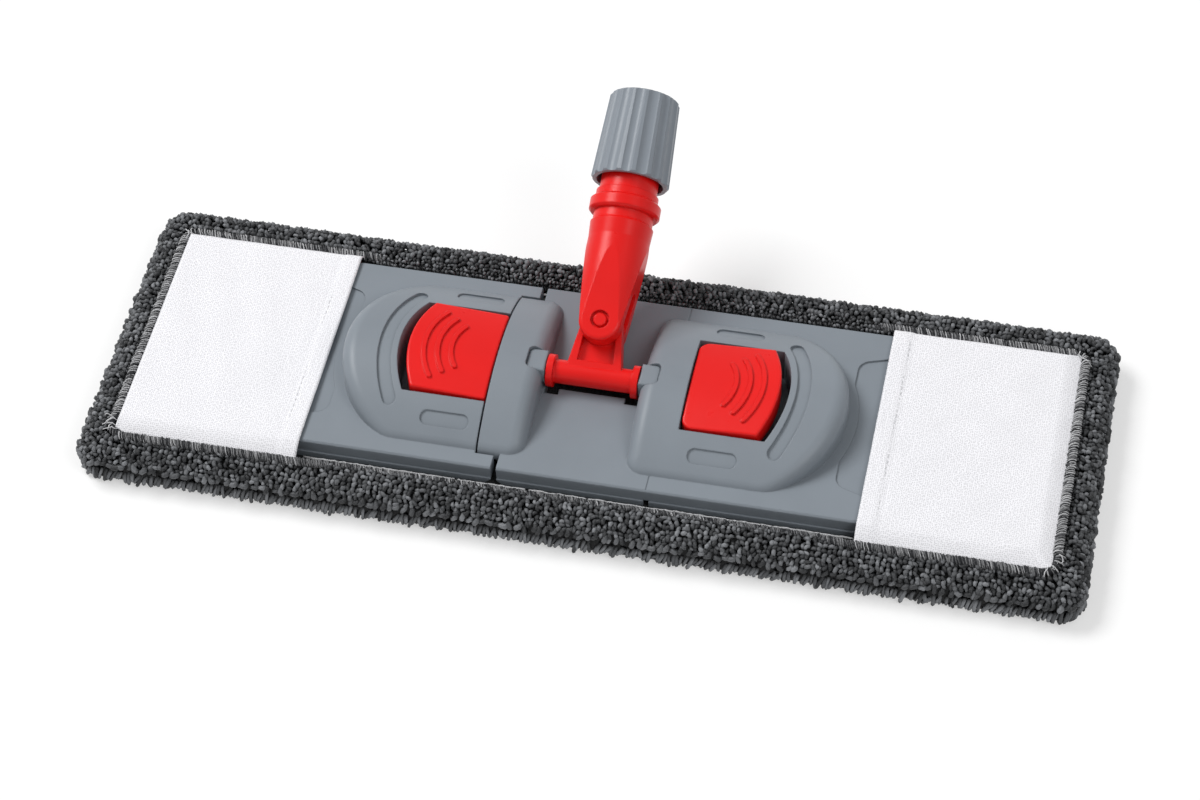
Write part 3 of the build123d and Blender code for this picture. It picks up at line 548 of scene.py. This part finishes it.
def reached(stretch, places, ways):
    """Which places round the rim a row takes in."""
    everywhere = np.ones(len(places), bool)
    fronts = ways[:, 1] < -SIDE_WAY
    rears = ways[:, 1] > SIDE_WAY
    pocket = beside_pocket(places)
    masks = {
        "all": everywhere,
        "ends": at_ends(ways),
        "open sides": (fronts | rears) & ~pocket,
        "open fronts": fronts & ~pocket,
        "open rears": rears & ~pocket,
        "pocket fronts": fronts & pocket,
        "pocket rears": rears & pocket,
    }
    return masks[stretch]


def rear_lift(ways):
    """Share by which the rim stands higher at each place."""
    return REAR_LIFT * np.maximum(ways[:, 1], 0)


def loop_rows(table):
    """Yarn loops round the rim, row by row: base, normal, way of the row and shape."""
    rows = []
    for index, (inset, tip, lean, shape, stretch) in enumerate(table):
        count = round(rim_path(inset, 1)[2] / shape.pitch)
        places, ways, _ = rim_path(inset, count, 0.5 * (index % 2))
        along = along_outline(ways)
        angle = np.radians(lean + rng.normal(0, ROW_LEAN_SPREAD, count))
        slide = along * rng.normal(0, ROW_SLIDE * shape.pitch, count)[:, None]
        level = ways * np.cos(angle)[:, None] + along * rng.normal(0, ROW_TILT, count)[:, None]
        normal = np.column_stack([level, np.sin(angle)])
        normal /= np.linalg.norm(normal, axis=1, keepdims=True)
        heights = tip * (1 + rear_lift(ways)) + rng.normal(0, TIP_SPREAD, count)
        base = np.column_stack([places + slide, heights]) - normal * (shape.height + shape.radius)
        row_way = np.column_stack([along, np.zeros(count)])
        keep = reached(stretch, places, ways)
        rows.append((base[keep], normal[keep], row_way[keep], shape))
    return rows


# Loops under the pad: free edge and free corner, stagger of the rows, height of the feet, scatter and tilt
SOLE_INSET = 4.0
SOLE_CORNER = 4.0
SOLE_STAGGER = 0.9
SOLE_ROOT = 4.4
SOLE_SCATTER = 0.5
SOLE_TILT = 0.3


def sole_loops():
    """Yarn loops under the pad, which the floor presses flat."""
    half_x, half_y = PAD_HALF[0] - SOLE_INSET, PAD_HALF[1] - SOLE_INSET
    columns, rows = round(2 * half_x / SOLE_LOOP.pitch), round(2 * half_y / SOLE_LOOP.pitch)
    share_x = (np.arange(columns) + 0.5) / columns * 2 - 1
    share_y = (np.arange(rows) + 0.5) / rows * 2 - 1
    x, y = np.meshgrid(share_x, share_y)
    x = (x + (np.arange(rows) % 2)[:, None] * SOLE_STAGGER / columns) * half_x
    points = np.column_stack([x.ravel() + PAD_OFFSET, (y * half_y).ravel(), np.full(x.size, SOLE_ROOT)])
    points[:, :2] += rng.normal(0, SOLE_SCATTER, (len(points), 2))
    inside_x = np.abs(points[:, 0] - PAD_OFFSET) < half_x - SOLE_CORNER
    inside_y = np.abs(points[:, 1]) < half_y - SOLE_CORNER
    points = points[inside_x | inside_y]
    normal = np.column_stack([rng.normal(0, SOLE_TILT, (len(points), 2)), -np.ones(len(points))])
    normal /= np.linalg.norm(normal, axis=1, keepdims=True)
    return [(points, normal, np.tile((1.0, 0.0, 0.0), (len(points), 1)), SOLE_LOOP)]


# Body of the pad

# Cross-section of the pad's body under the loops: in from the pad's edge and up
core_profile = [
    (16.0, 11.3), (15.4, 13.6), (13.6, 15.3), (11.4, 15.9), (9.2, 15.6), (7.6, 14.7),
    (6.2, 13.4), (5.0, 12.4), (4.4, 11.2), (4.6, 10.4), (5.0, 9.6), (3.6, 8.0),
    (2.4, 6.2), (2.0, 3.8), (2.4, 1.8), (4.4, 1.2), (10.0, 2.8), (16.0, 2.8),
]
CORE_STEPS = 220
# Painted shade: the body is dark, because it shows only in the gaps between loops, where shade falls
CORE_SHADE_TONE = -0.1
# Least and most tone of a loop
TONE_RANGE = (0.02, 0.95)
# A station along X past either end of the part
FAR = 1000.0
SPANS = {
    "left": (-FAR, FOLD_X - FOLD_STRIP),
    "fold": (FOLD_X - FOLD_STRIP, FOLD_X + FOLD_STRIP),
    "right": (FOLD_X + FOLD_STRIP, FAR),
}
BODY = {"left": "left_wing", "right": "frame", "fold": None}


def pad_core():
    """Closed body of the pad: rim, bed and underside."""
    bed_height = core_profile[0][1]
    points, faces = [], []
    for inset, height in core_profile:
        places, ways, _ = rim_path(inset, CORE_STEPS)
        lift = rear_lift(ways) * (height > bed_height)
        points.append(np.column_stack([places, height * (1 + lift)]))
    rings = len(core_profile)
    for ring in range(rings - 1):
        low, high = ring * CORE_STEPS, (ring + 1) * CORE_STEPS
        for step in range(CORE_STEPS):
            after = (step + 1) % CORE_STEPS
            faces.append((low + step, low + after, high + after, high + step))
    faces.append(tuple(range(CORE_STEPS)))
    faces.append(tuple(reversed(range((rings - 1) * CORE_STEPS, rings * CORE_STEPS))))
    mesh = bmesh.new()
    made = [mesh.verts.new(point) for point in np.concatenate(points)]
    for face in faces:
        mesh.faces.new([made[corner] for corner in face])
    bmesh.ops.recalc_face_normals(mesh, faces=mesh.faces)
    return mesh


def cut_between(mesh, low, high):
    """(points, faces) of a closed mesh between two stations along X, closed again at the cuts."""
    part = mesh.copy()
    for station, way in ((low, -1), (high, 1)):
        everything = list(part.verts) + list(part.edges) + list(part.faces)
        bmesh.ops.bisect_plane(part, geom=everything, plane_co=(station, 0, 0), plane_no=(way, 0, 0),
                               clear_outer=True)
        rim = [edge for edge in part.edges if edge.is_boundary]
        if rim:
            bmesh.ops.holes_fill(part, edges=rim, sides=0)
    bmesh.ops.recalc_face_normals(part, faces=part.faces)
    part.verts.index_update()
    points = np.array([vertex.co[:] for vertex in part.verts])
    faces = [tuple(vertex.index for vertex in face.verts) for face in part.faces]
    part.free()
    return points, faces


def within(points, low, high):
    """Which points lie between two stations along X."""
    return (points[:, 0] >= low) & (points[:, 0] < high)


def bend_at_fold(piece):
    """Bakes the place of a piece of the pad's strip under the fold into its points."""
    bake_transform(piece)


def pad_body(span, low, high):
    """Body of one stretch of the pad, which takes the place of its solid."""
    points, faces = cut_between(core, low, high)
    # Painted shade: the body's dark tone stands for the shade in the gaps between the loops
    body = new_mesh(f"pad_body_{span}", points, faces, np.full(len(points), CORE_SHADE_TONE))
    dress(body, BODY[span], PILE)
    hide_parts(f"mop_pad_{span}")
    return body


def pile(name, span, low, high):
    """Yarn loops of one part of the pile on one stretch of the pad."""
    rows, tone, tone_spread = piles[name]
    groups = []
    for base, normal, row_way, shape in rows:
        on = within(base, low, high)
        if not on.any():
            continue
        tones = np.clip(rng.normal(tone, tone_spread, on.sum()), *TONE_RANGE)
        groups.append(loop_strands(base[on], normal[on], row_way[on], shape, tones))
    return dress(new_mesh(f"pile_{name}_{span}", *joined(*groups)), BODY[span], PILE)


core = pad_core()
# Loops of each part of the pile, their mean tone and how much it differs
piles = {
    "edge": (loop_rows(edge_rows), 0.53, 0.24),
    "rim": (loop_rows(rim_rows), 0.25, 0.32),
    "sole": (sole_loops(), 0.42, 0.14),
}
for span, (low, high) in SPANS.items():
    pieces = [pad_body(span, low, high)]
    pieces += [pile(name, span, low, high) for name in piles]
    if span == "fold":
        for piece in pieces:
            bend_at_fold(piece)
core.free()

# Backing of the pad

BACKING_THICK = 0.3
# How far below the plate the backing lies
BACKING_DROP = 0.45
BACKING_Z = plate_low[2] - BACKING_DROP
# How far inside the bed the backing ends, at its ends and along its sides
BACKING_END = 1
BACKING_SIDE = 0.3
# Length of a cell of its grid, least number of columns, and number of rows
BACKING_CELL = 8
BACKING_COLUMNS = 4
BACKING_ROWS = 16


def flat_places(points):
    """Where each point of a grid lies on the flat cloth, by the lengths along its rows and columns."""
    along = np.linalg.norm(np.diff(points, axis=1, prepend=points[:, :1]), axis=2).cumsum(axis=1)
    across = np.linalg.norm(np.diff(points, axis=0, prepend=points[:1]), axis=2).cumsum(axis=0)
    return np.stack([along, across, np.zeros_like(along)], axis=2).reshape(-1, 3)


def thick_sheet(name, points, thickness):
    """Closed cloth piece: the surface through a grid of points and its other side, thickness below."""
    mesh = bmesh.new()
    flat = mesh.verts.layers.float_vector.new("flat")
    made = [mesh.verts.new(point) for point in points.reshape(-1, 3) * MM]
    for corner, place in zip(made, flat_places(points) * MM):
        corner[flat] = place
    grid = grid_faces(*points.shape[:2])
    for face in grid:
        mesh.faces.new([made[corner] for corner in face])
    bmesh.ops.recalc_face_normals(mesh, faces=mesh.faces)
    bmesh.ops.solidify(mesh, geom=list(mesh.faces), thickness=thickness * MM)
    bmesh.ops.recalc_face_normals(mesh, faces=mesh.faces)
    mesh.verts.index_update()
    places = [corner.co[:] for corner in mesh.verts]
    flats = [corner[flat][:] for corner in mesh.verts]
    faces = [tuple(corner.index for corner in face.verts) for face in mesh.faces]
    two_sides = 2 * len(grid)
    # The rim's faces come last, and are sorted because their order differs from run to run
    faces[two_sides:] = sorted(faces[two_sides:], key=sorted)
    mesh.free()
    data = bpy.data.meshes.new(name)
    data.from_pydata(places, [], faces)
    data.polygons.foreach_set("use_smooth", [True] * len(data.polygons))
    layer = data.attributes.new("flat", "FLOAT_VECTOR", "POINT")
    layer.data.foreach_set("vector", np.ravel(flats))
    data.update()
    return add_object(name, data)


for span, (low, high) in SPANS.items():
    start = max(low, PAD_OFFSET - BED_HALF[0] + BACKING_END)
    end = min(high, PAD_OFFSET + BED_HALF[0] - BACKING_END)
    half = BED_HALF[1] - BACKING_SIDE
    columns = max(BACKING_COLUMNS, round((end - start) / BACKING_CELL))
    x, y = np.meshgrid(np.linspace(start, end, columns), np.linspace(-half, half, BACKING_ROWS))
    points = np.stack([x, y, np.full_like(x, BACKING_Z)], axis=2)
    backing = thick_sheet(f"pad_backing_{span}", points, BACKING_THICK)
    dress(backing, BODY[span], BACKING)
    if span == "fold":
        bend_at_fold(backing)

# Pockets

CLOTH = 0.6
POCKET_COLUMNS = 72
POCKET_ROWS = 97
# How far below the top of the pocket's solid the cloth lies on the plate, before its waves
POCKET_SAG = 0.35
POCKET_Z = POCKET_TOP - POCKET_SAG
# Height of the sleeve's sewn edge at the front and rear, and how much more it is at the end
POCKET_BASE = 19.2
POCKET_END_RISE = 1.2
# How far the sewn edge of the sleeve lies above the middle of the seam
POCKET_SEAT = 0.4
# Room between the plate and the cloth where the cloth leaves it, at the end and at the sides
POCKET_END_ROOM = 1.0
POCKET_SIDE_ROOM = 0.8
POCKET_TOP_END = plate_high[0] + POCKET_END_ROOM
POCKET_TOP_HALF = plate_high[1] + POCKET_SIDE_ROOM
# How far out from the bed the sewn edge lies at the end, and from the plate at the rear
POCKET_END_OUT = 1.6
POCKET_SIDE_OUT = 4.1
POCKET_BASE_HALF = plate_high[1] + POCKET_SIDE_OUT
POCKET_CORNER = 2.0
# How far before the plate's edge the cloth starts to bend
POCKET_BEND = 0.6
# Share of the grid that lies level, and how round the bend above the slope is
POCKET_LEVEL = 0.78
POCKET_ROUND = 1.4
# Hem at the mouth: its width, how far it stands up, and how wide its step is
HEM = 8.6
HEM_RISE = 0.55
HEM_STEP = 1.2
# Dip of the cloth along the hem's stitches
DIP_WIDTH = 0.9
DIP_DEPTH = 0.4
# Least and most length of the cloth's waves
WAVE_LENGTHS = (14, 46)
# Waves of the cloth's top: how high, how many, their seed, and the half width that they are laid out on
TOP_WAVE = 0.5
TOP_WAVES = 7
TOP_SEED = 11
TOP_SPAN = 60
# Waves of the sewn edge: how far out, how many, their seed, and how they are laid out
EDGE_WAVE = 0.35
EDGE_WAVES = 6
EDGE_SEED = 31
EDGE_STRETCH = 2.2
EDGE_SPAN = 20
# Share of the hem's rise and of the edge's waves that goes outward
EDGE_OUT = 0.8
# Keeps a share defined where both of its parts are nothing
TINY = 1e-6
# How far the sewn edge is drawn out at the pockets' fronts and drawn in at the left and right end
SEAM_FRONT = 3.6
SEAM_LEFT = 2.0
SEAM_RIGHT = 1.2


def ripple(x, y, waves, seed):
    """Smooth seeded unevenness between 0 and 1."""
    local = np.random.default_rng(seed)
    total = np.zeros_like(x)
    for _ in range(waves):
        way = local.uniform(0, 2 * np.pi)
        length = local.uniform(*WAVE_LENGTHS)
        phase = local.uniform(0, 2 * np.pi)
        total += np.sin((x * np.cos(way) + y * np.sin(way)) * 2 * np.pi / length + phase)
    return 0.5 + 0.5 * np.tanh(total / math.sqrt(waves))


def draped_edge(share, top, base):
    """Places out and shares of the height along cloth that runs level, bends at top and slopes to base."""
    level = np.clip(share / POCKET_LEVEL, 0, 1)
    drop = np.clip((share - POCKET_LEVEL) / (1 - POCKET_LEVEL), 0, 1)
    bend_start = top - POCKET_BEND
    return bend_start * level + (base - bend_start) * drop, 1 - drop**POCKET_ROUND


def pocket(label, side):
    """Cloth sleeve over one end of the plate, hemmed at its mouth and sewn down on the other three sides."""
    mouth = POCKET_MOUTH + side * PAD_OFFSET
    drawn_in = SEAM_RIGHT if side > 0 else SEAM_LEFT
    base_end = BED_HALF[0] + POCKET_END_OUT + side * PAD_OFFSET - drawn_in
    share_x, share_y = np.meshgrid(np.linspace(0, 1, POCKET_COLUMNS), np.linspace(-1, 1, POCKET_ROWS))
    base_half = POCKET_BASE_HALF + np.where(share_y < 0, SEAM_FRONT, 0)
    run, rise_x = draped_edge(share_x, POCKET_TOP_END - mouth, base_end - mouth)
    reach, rise_y = draped_edge(np.abs(share_y), POCKET_TOP_HALF, base_half)
    over_x = np.clip((run - (base_end - mouth - POCKET_CORNER)) / POCKET_CORNER, 0, 1)
    over_y = np.clip((reach - (base_half - POCKET_CORNER)) / POCKET_CORNER, 0, 1)
    run = run - POCKET_CORNER * over_x * (1 - np.sqrt(1 - over_y**2 / 2))
    reach = reach - POCKET_CORNER * over_y * (1 - np.sqrt(1 - over_x**2 / 2))
    body = np.minimum(rise_x, rise_y)
    hem = 1 - step_up(run, HEM, HEM_STEP)
    seam_dip = np.exp(-((run - HEM) / DIP_WIDTH) ** 2)
    base = POCKET_BASE + POCKET_END_RISE * (1 - rise_x) / (2 - rise_x - rise_y + TINY)
    waves = ripple(run, share_y * TOP_SPAN, TOP_WAVES, TOP_SEED + side)
    height = base + (POCKET_Z - base) * body + TOP_WAVE * waves * body
    height += (HEM_RISE * hem - DIP_DEPTH * seam_dip) * body
    edge_waves = ripple(run * EDGE_STRETCH, share_y * EDGE_SPAN, EDGE_WAVES, EDGE_SEED + side)
    reach = reach + (HEM_RISE * hem + EDGE_WAVE * edge_waves * (1 - body)) * (1 - body) * EDGE_OUT
    points = np.stack([side * (mouth + run), np.sign(share_y) * reach, height], axis=2)
    sleeve = thick_sheet(f"pocket_{label}", points, CLOTH)
    dress(sleeve, BODY[label], WHITE)
    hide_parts(f"{label}_pocket")


# Stitches of a hem: sizes of a stitch, distance inside the hem's seam, free ends of the row, and points
STITCH_PITCH = 3.2
STITCH_LENGTH = 2.3
STITCH_RADIUS = 0.2
STITCH_INSET = 1.0
STITCH_MARGIN = 5
STITCH_POINTS = 5
# Height of a stitch's ends above the pocket's level, how far it arches, scatter and tone
STITCH_LIFT = 0.3
STITCH_ARCH = 0.3
STITCH_SCATTER = 0.06
STITCH_TONE = 0.8
THREAD_SIDES = 5


def hem_stitches(label, side):
    """Row of stitches along the hem of one pocket."""
    mouth = POCKET_MOUTH + side * PAD_OFFSET
    count = round(2 * (POCKET_TOP_HALF - STITCH_MARGIN) / STITCH_PITCH)
    y = (np.arange(count) - (count - 1) / 2) * STITCH_PITCH
    along = np.linspace(-0.5, 0.5, STITCH_POINTS)
    arch = POCKET_Z + STITCH_LIFT + STITCH_ARCH * np.cos(along * np.pi)
    x = np.full((count, STITCH_POINTS), side * (mouth + HEM - STITCH_INSET))
    x = x + rng.normal(0, STITCH_SCATTER, (count, 1))
    paths = np.stack([x, y[:, None] + along * STITCH_LENGTH, np.tile(arch, (count, 1))], axis=2)
    radii = np.full((count, STITCH_POINTS), STITCH_RADIUS)
    row = strands(paths, radii, THREAD_SIDES, np.full(count, STITCH_TONE))
    dress(new_mesh(f"hem_stitches_{label}", *row), BODY[label], THREAD)


# Sewn edge of the rim

# Step from thread to thread, a thread's radius and how much it differs, its slant on the edge, and scatter
THREAD_STEP = 0.62
THREAD_RADIUS = 0.3
THREAD_RANGE = (0.75, 1.2)
THREAD_SLANT = 2.2
SLANT_SPREAD = 0.4
THREAD_SCATTER = 0.1
# Round sewn edge: how far out from the bed and how high its middle is, and its radius
SEAM_OUT = 3.1
SEAM_Z = 15.0
SEAM_RADIUS = 2.0
# The stretch beside the pockets' mouths in which the sewn edge comes down
SEAM_FALL = 20.0
# Angles round the sewn edge in degrees where a thread starts and ends, and the number of its points
THREAD_START = 190
THREAD_END = 10
THREAD_POINTS = 7
# Path of one overlock thread across the sewn edge: out from its middle and up
seam_turn = np.radians(np.linspace(THREAD_START, THREAD_END, THREAD_POINTS))
thread_path = SEAM_RADIUS * np.column_stack([np.cos(seam_turn), np.sin(seam_turn)])
# Share of every second thread that is pale: at the ends, at pockets' fronts and rears, and between pockets
PALE_END = 0.95
PALE_FRONT = 0.35
PALE_REAR = 0.7
PALE_OPEN = 0.2
# Tones of dark and pale threads, and how much brighter the pale ones are at the ends and elsewhere
DARK_TONES = (-0.15, 0.14)
PALE_TONES = (0.1, 0.4)
BRIGHT_END = 0.2
BRIGHT_SIDE = 0.05
# Filling under the threads: its step, its sides, its tone, and the drop and the radius of its two cords
FILL_STEP = 3.0
FILL_SIDES = 8
FILL_TONE = -0.2
FILL_CORDS = ((1.8, SEAM_RADIUS), (0.0, SEAM_RADIUS - 0.2))
# Raw edge of the backing: its step, how far inside the bed and how high it lies, its sizes, scatter and tone
RAW_STEP = 1.5
RAW_INSET = 0.7
RAW_Z = 13.6
RAW_RADIUS = 0.5
RAW_SIDES = 6
RAW_SCATTER = 0.12
RAW_TONE = 0.55
# Thread ends at a pocket's corners: how many, radius, lift, spread of the slant, wander, and tone
END_COUNT = 7
END_RADIUS = 0.22
END_LIFT = 0.7
END_SLANT = 4
END_WANDER = 0.35
END_TONE = 0.6
# Number of places round the bed from which the thread ends are picked
END_PLACES = 1000


def seam_middle(places, ways):
    """Middle of the sewn edge at places round the bed: the pockets draw it up, most at the ends."""
    beside = step_up(np.abs(places[:, 0] - PAD_OFFSET), POCKET_MOUTH - SEAM_FALL / 2, SEAM_FALL)
    drawn = beside * (POCKET_BASE + POCKET_END_RISE * ways[:, 0] ** 2 - POCKET_SEAT - SEAM_Z)
    drawn_in = SEAM_RIGHT * np.maximum(ways[:, 0], 0) + SEAM_LEFT * np.maximum(-ways[:, 0], 0)
    out = SEAM_OUT + SEAM_FRONT * beside * np.maximum(-ways[:, 1], 0) - drawn_in
    return np.column_stack([places + ways * out[:, None], SEAM_Z + drawn])


def over_edge(places, ways, slant):
    """Paths of threads laid over the edge at places, slanting along it."""
    share = np.linspace(-0.5, 0.5, THREAD_POINTS)
    middle = seam_middle(places, ways)
    across = ways[:, None] * thread_path[:, 0, None]
    level = across + along_outline(ways)[:, None] * (share * slant[:, None])[..., None]
    rise = np.tile(thread_path[:, 1], (len(places), 1))
    return middle[:, None] + np.concatenate([level, rise[..., None]], axis=2)


def stretches(places, low, high):
    """Unbroken runs of indices of places between two stations along X, for places in a closed round."""
    on = within(places, low, high)
    first = int(np.argmin(on))
    order = np.roll(np.arange(len(places)), -first)
    chosen = order[on[order]]
    breaks = np.flatnonzero(np.diff((chosen - first) % len(places)) > 1) + 1
    return np.split(chosen, breaks)


def overlock(span, low, high):
    """Overlocked inner edge of the rim: close slanting threads, dark and pale, over a filled edge."""
    places, ways, _ = bed_steps(THREAD_STEP)
    on = within(places, low, high)
    places, ways = places[on], ways[on]
    count = len(places)
    paths = over_edge(places, ways, rng.normal(THREAD_SLANT, SLANT_SPREAD, count))
    paths += rng.normal(0, THREAD_SCATTER, (count, 1, 3))
    paths[:, 1:-1] += rng.normal(0, THREAD_SCATTER, (count, THREAD_POINTS - 2, 3))
    at_pocket = np.where(ways[:, 1] < 0, PALE_FRONT, PALE_REAR)
    at_side = np.where(beside_pocket(places), at_pocket, PALE_OPEN)
    share = np.where(at_ends(ways), PALE_END, at_side)
    pale = (np.arange(count) % 2 == 0) & (rng.random(count) < share)
    pale_tones = rng.uniform(*PALE_TONES, count) + np.where(at_ends(ways), BRIGHT_END, BRIGHT_SIDE)
    tones = np.where(pale, pale_tones, rng.uniform(*DARK_TONES, count))
    radii = THREAD_RADIUS * rng.uniform(*THREAD_RANGE, (count, 1)) * np.ones((1, THREAD_POINTS))
    groups = [strands(paths, radii, THREAD_SIDES, tones)]
    places, ways, _ = bed_steps(FILL_STEP)
    for run in stretches(places, low, high):
        for drop, radius in FILL_CORDS:
            middle = seam_middle(places[run], ways[run]) - (0, 0, drop)
            cord_radii = np.full((1, len(run)), radius)
            groups.append(strands(middle[None], cord_radii, FILL_SIDES, np.array([FILL_TONE])))
    return dress(new_mesh(f"overlock_{span}", *joined(*groups)), BODY[span], THREAD)


def backing_edge(span, low, high):
    """Pale raw edge of the backing that shows beside the plate between the pockets."""
    places, ways, _ = bed_steps(RAW_STEP)
    start, end = max(low, PAD_OFFSET - POCKET_MOUTH), min(high, PAD_OFFSET + POCKET_MOUTH)
    groups = []
    for run in stretches(places, start, end):
        middle = np.column_stack([places[run] - ways[run] * RAW_INSET, np.full(len(run), RAW_Z)])
        middle += rng.normal(0, RAW_SCATTER, middle.shape)
        radii = np.full((1, len(run)), RAW_RADIUS)
        groups.append(strands(middle[None], radii, RAW_SIDES, np.array([RAW_TONE])))
    return dress(new_mesh(f"backing_edge_{span}", *joined(*groups)), BODY[span], THREAD)


def stray_threads(label, side):
    """Pale thread ends at one pocket's sewn corners."""
    places, ways, _ = bed_path(END_PLACES)
    at_corner = np.abs(ways[:, 0] * ways[:, 1]) > CORNER_WAY
    turned = np.flatnonzero(at_corner & (side * (places[:, 0] - PAD_OFFSET) > 0))
    chosen = rng.choice(turned, END_COUNT, replace=False)
    paths = over_edge(places[chosen], ways[chosen], rng.normal(0, END_SLANT, END_COUNT))
    paths[..., 2] += END_LIFT
    paths[:, 1:] += np.cumsum(rng.normal(0, END_WANDER, (END_COUNT, THREAD_POINTS - 1, 3)), axis=1)
    radii = np.full((END_COUNT, THREAD_POINTS), END_RADIUS)
    ends = strands(paths, radii, THREAD_SIDES, np.full(END_COUNT, END_TONE))
    dress(new_mesh(f"thread_ends_{label}", *ends), BODY[label], THREAD)


for label, side in (("left", -1), ("right", 1)):
    pocket(label, side)
    hem_stitches(label, side)
    stray_threads(label, side)
for span, (low, high) in SPANS.items():
    edges = [overlock(span, low, high), backing_edge(span, low, high)]
    if span == "fold":
        for piece in edges:
            bend_at_fold(piece)

# Floor, light and camera

# Place of the camera in metres and its turn in degrees, from a fit of the part's points to the photograph
CAMERA_PLACE = (0.21473, -0.84500, 1.07474)
CAMERA_TURN = (39.3389, 1.7877, 11.9364)
CAMERA_LENS = 93.503
SENSOR_WIDTH = 36.0
FLOOR_HALF = 6.0
FLOOR_PALE = (0.93, 0.93, 0.93, 1)
# Share of the floor's own light in what the camera sees of it
FLOOR_GLOW = 0.48
# Strength of the world as a light and as it is seen
WORLD_LIGHT = 0.38
WORLD_SEEN = 1.0
SEEN_RAYS = ("Is Camera Ray", "Is Glossy Ray", "Is Transmission Ray")


def seen_directly(tree):
    """Output that is 1 for rays by which the camera sees a thing, by itself or in a reflection."""
    rays = tree.nodes.new("ShaderNodeLightPath")
    seen = rays.outputs[SEEN_RAYS[0]]
    for kind in SEEN_RAYS[1:]:
        either = tree.nodes.new("ShaderNodeMath")
        either.operation = "MAXIMUM"
        tree.links.new(seen, either.inputs[0])
        tree.links.new(rays.outputs[kind], either.inputs[1])
        seen = either.outputs["Value"]
    return seen


def add_floor():
    """Large pale floor that is white to the camera away from the object and keeps its shadow."""
    points = np.array([(-1, -1, 0), (1, -1, 0), (1, 1, 0), (-1, 1, 0)]) * FLOOR_HALF / MM
    floor = new_mesh("floor", points, [(0, 1, 2, 3)])
    made, tree, shader, node = material("pale_floor")
    shader.inputs["Base Color"].default_value = FLOOR_PALE
    shader.inputs["Roughness"].default_value = 0.9
    shader.inputs["Specular IOR Level"].default_value = 0.0
    share = node("ShaderNodeMath", {0: seen_directly(tree)}, operation="MULTIPLY")
    share.inputs[1].default_value = FLOOR_GLOW
    glow = node("ShaderNodeEmission", Color=(1, 1, 1, 1), Strength=1.0)
    parts = {"Fac": share.outputs["Value"], 1: shader.outputs["BSDF"], 2: glow.outputs["Emission"]}
    mix = node("ShaderNodeMixShader", parts)
    tree.links.new(mix.outputs["Shader"], tree.nodes["Material Output"].inputs["Surface"])
    floor.data.materials.append(made)
    floor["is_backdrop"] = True


def add_world():
    """White surroundings, dimmer as a light than they look."""
    world = bpy.data.worlds.new("studio")
    bpy.context.scene.world = world
    world.use_nodes = True
    tree = world.node_tree
    background = tree.nodes["Background"]
    background.inputs["Color"].default_value = (1, 1, 1, 1)
    strength = tree.nodes.new("ShaderNodeMapRange")
    strength.inputs["To Min"].default_value = WORLD_LIGHT
    strength.inputs["To Max"].default_value = WORLD_SEEN
    tree.links.new(seen_directly(tree), strength.inputs["Value"])
    tree.links.new(strength.outputs["Result"], background.inputs["Strength"])


def add_light(name, place, size, power):
    """White area lamp that is aimed at the part."""
    lamp = bpy.data.lights.new(name, "AREA")
    lamp.shape = "RECTANGLE"
    lamp.size, lamp.size_y = size
    lamp.energy = power
    holder = add_object(name, lamp)
    holder.location = place
    holder.rotation_mode = "QUATERNION"
    holder.rotation_quaternion = (-Vector(place)).to_track_quat("-Z", "Y")


def add_camera():
    """Camera of the photograph."""
    camera = bpy.data.cameras.new("camera")
    camera.sensor_fit = "HORIZONTAL"
    camera.sensor_width = SENSOR_WIDTH
    camera.lens = CAMERA_LENS
    camera.clip_start = 0.05
    camera.clip_end = 30.0
    holder = add_object("camera", camera)
    turn = Euler([math.radians(angle) for angle in CAMERA_TURN])
    holder.matrix_world = Matrix.Translation(CAMERA_PLACE) @ turn.to_matrix().to_4x4()
    bpy.context.scene.camera = holder


add_floor()
add_world()
add_light("key", place=(-2.43, 0.81, 3.24), size=(2.0, 1.6), power=140)
add_light("fill", place=(1.6, -1.0, 2.0), size=(1.2, 1.2), power=18)
add_camera()
bpy.context.scene.view_settings.view_transform = "Standard"

low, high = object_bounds()
